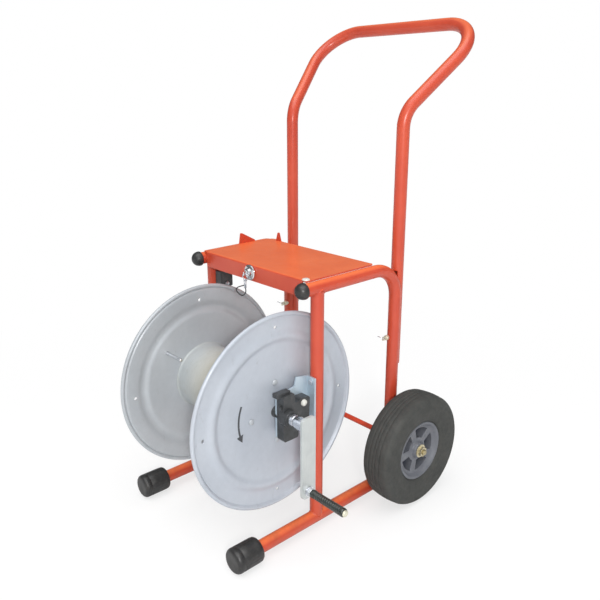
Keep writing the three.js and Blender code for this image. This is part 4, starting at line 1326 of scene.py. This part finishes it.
def hose_drum():
    """An open tube between the flanges, flared at both ends."""
    left = FLANGE_LEFT_X + WEB_DISH + FLANGE_SHEET + GAP
    right = FLANGE_RIGHT_X - WEB_DISH - FLANGE_SHEET - GAP
    inner_r = DRUM_R - 2.2
    profile = [
        *((DRUM_R + flare, left + along) for flare, along in DRUM_FLARE),
        (DRUM_R, left + 60),
        (DRUM_R, right - 60),
        *((DRUM_R + flare, right - along) for flare, along in reversed(DRUM_FLARE)),
        (inner_r, right),
        (inner_r, left),
    ]
    lathe(
        "hose_drum", profile, "x", (0, REEL_Y, REEL_Z), "drum", "reel",
        "reel_drum", seg=144, smooth=38,
    )


def crank_hand_grip():
    """A tapered sleeve on X, with fine grooves between two rounded ends."""
    start = CRANK_X + CRANK_T + 10
    end = start + GRIP_LENGTH
    bore_r = 4.3
    rib_pitch = 5.2
    profile = [
        (bore_r, start), (6.9, start), (7.7, start + 0.4), (8.3, start + 1.4),
        (8.6, start + 3.6), (8.5, start + 6.0),
    ]
    x = start + 9
    while x < start + 73:
        radius = 7.7 + 0.9 * (x - start) / GRIP_LENGTH
        groove_r = radius - 0.28
        profile += [
            (radius, x), (radius + 0.05, x + 2.0), (groove_r, x + 2.5), (groove_r, x + 3.0),
            (radius, x + 3.5),
        ]
        x += rib_pitch
    profile += [
        (8.7, start + 77), (8.6, end - 2.4), (8.1, end - 0.7), (7.2, end), (bore_r, end),
    ]
    lathe(
        "crank_hand_grip", profile, "x", (0, REEL_Y, GRIP_Z), "grip", "crank_grip",
        "crank_grip", seg=56, smooth=40,
    )


# ---------------------------------------------------------------- stage, light and camera


def floor_material():
    mat = Shader("studio_floor")
    color = mat.mottle(grain=(0.8, 3, 0.5), dark=(0.80, 0.80, 0.80), light=(0.82, 0.82, 0.82))
    mat.set(color=color, rough=0.8, spec=0.05)
    # Seen directly, the floor is a pale paper that only darkens a little in shadow.
    seen = mat.new("ShaderNodeBsdfDiffuse")
    mat.put(seen.inputs["Color"], (0.90, 0.90, 0.90))
    glow = mat.new("ShaderNodeEmission")
    mat.put(glow.inputs["Color"], (1.0, 1.0, 1.0))
    mat.put(glow.inputs["Strength"], 1.0)
    distance = mat.new("ShaderNodeVectorMath", operation="LENGTH")
    mat.put(distance.inputs[0], mat.position)
    glow_share = mat.span(distance.outputs["Value"], over=(0.45, 1.5), to=(0.66, 1.0))
    paper = mix_shaders(mat.tree, glow_share, seen.outputs[0], glow.outputs[0])
    camera_ray = mat.new("ShaderNodeLightPath").outputs["Is Camera Ray"]
    surface = mix_shaders(mat.tree, camera_ray, mat.principled.outputs[0], paper)
    mat.put(mat.surface, surface)
    return mat.material


def studio_floor():
    half = 40.0  # metres
    corners = [(-half, -half, 0), (half, -half, 0), (half, half, 0), (-half, half, 0)]
    mesh = build_mesh("floor", corners, [(0, 1, 2, 3)])
    floor = add_object("studio_floor", mesh)
    floor.location.z = -0.0006
    mesh.materials.append(floor_material())


def studio_world():
    """White to the camera; a dimmer soft room to everything else, darkest behind the cart."""
    world = bpy.data.worlds.new("studio")
    bpy.context.scene.world = world
    world.use_nodes = True
    tree = world.node_tree
    tree.nodes.clear()
    new, link = tree.nodes.new, tree.links.new
    output = new("ShaderNodeOutputWorld")
    path = new("ShaderNodeLightPath")

    def background(color, strength=1.0):
        node = new("ShaderNodeBackground")
        node.inputs[0].default_value = (*color, 1)
        node.inputs[1].default_value = strength
        return node

    white = background(color=(1, 1, 1))
    room = background(color=(0.95, 0.975, 1.0), strength=0.42)
    # Mirror rays: bright overhead and on the camera's side, dim behind.
    mirror = background(color=(0.97, 0.98, 1.0))
    toward = new("ShaderNodeVectorMath")
    toward.operation = "DOT_PRODUCT"
    toward.inputs[1].default_value = Vector((0.52, -0.45, 0.72)).normalized()
    link(new("ShaderNodeTexCoord").outputs["Generated"], toward.inputs[0])
    ramp = new("ShaderNodeValToRGB")
    link(toward.outputs["Value"], ramp.inputs[0])
    link(ramp.outputs[0], mirror.inputs[1])
    # Mirror brightness away from, partly toward and straight toward the bright side.
    stops = ramp.color_ramp.elements
    stops[0].color = (0.16, 0.16, 0.16, 1)
    stops[1].color = (1.05, 1.05, 1.05, 1)
    stops.new(0.45).color = (0.34, 0.34, 0.34, 1)
    unseen = mix_shaders(
        tree, path.outputs["Is Glossy Ray"], room.outputs[0], mirror.outputs[0]
    )
    surface = mix_shaders(tree, path.outputs["Is Camera Ray"], unseen, white.outputs[0])
    link(surface, output.inputs["Surface"])


def bearing(azimuth, elevation):
    """Unit vector from the cart: degrees from the front towards the right, and upward."""
    return Vector(
        (
            math.sin(azimuth) * math.cos(elevation),
            -math.cos(azimuth) * math.cos(elevation),
            math.sin(elevation),
        )
    )


def add_light(name, kind, facing, energy, color):
    light = add_object(name, bpy.data.lights.new(name, kind))
    light.data.energy = energy
    light.data.color = color
    light.rotation_mode = "QUATERNION"
    light.rotation_quaternion = facing.to_track_quat("-Z", "Y")
    return light


def lights():
    """A small soft box just to the right of the camera, and a soft light from overhead."""
    target = point(20, REEL_Y, REEL_Z)
    distance = 2.7
    place = target + distance * bearing(math.radians(55.6), math.radians(24.0))
    key = add_light("key", "AREA", target - place, energy=33, color=(1.0, 0.985, 0.96))
    key.location = place
    key.data.shape = "RECTANGLE"
    key.data.size = 0.26
    key.data.size_y = 0.26
    above = Vector((0.15, -0.25, 1.0))
    sun = add_light("overhead", "SUN", -above, energy=2.0, color=(1.0, 0.99, 0.98))
    sun.data.angle = math.radians(60)


def photo_camera():
    """Ahead of the cart, to its right and above, looking back along its bearing."""
    azimuth, elevation, roll = (math.radians(a) for a in (48.993, 17.374, -0.602))
    back = bearing(azimuth, elevation)
    ahead = -back
    level = ahead.cross(Vector((0, 0, 1))).normalized()
    upright = level.cross(ahead)
    right = level * math.cos(roll) + upright * math.sin(roll)
    up = -level * math.sin(roll) + upright * math.cos(roll)
    camera = add_object("photo_camera", bpy.data.cameras.new("photo_camera"))
    matrix = Matrix((right, up, back)).transposed().to_4x4()
    matrix.translation = point(1042.19, -1082.69, 897.52)
    camera.matrix_world = matrix
    camera.data.sensor_width = 36
    camera.data.lens = 40.1556
    camera.data.shift_x = 0.03196667
    camera.data.shift_y = -0.009183333
    camera.data.clip_start = 0.05
    camera.data.clip_end = 100
    bpy.context.scene.camera = camera


# ---------------------------------------------------------------- build

for side, sign in SIDES:
    frame_side(side, sign)
push_handle()
dress_cad_pieces()
deck()
axle_and_shaft()
rubber_caps()
for side, sign in SIDES:
    pull_ring(side, sign)
front_ring_and_wire()
for side, sign in SIDES:
    wheel(side, sign)
reel_flange("right", 1, FLANGE_RIGHT_X, "reel_lit_marked", turn=0.0, ring_r=174.0)
reel_flange("left", -1, FLANGE_LEFT_X, "reel", turn=1.5, ring_r=172.0)
hose_drum()
crank_hand_grip()

studio_floor()
bpy.context.scene.view_settings.view_transform = "Standard"
studio_world()
lights()
photo_camera()
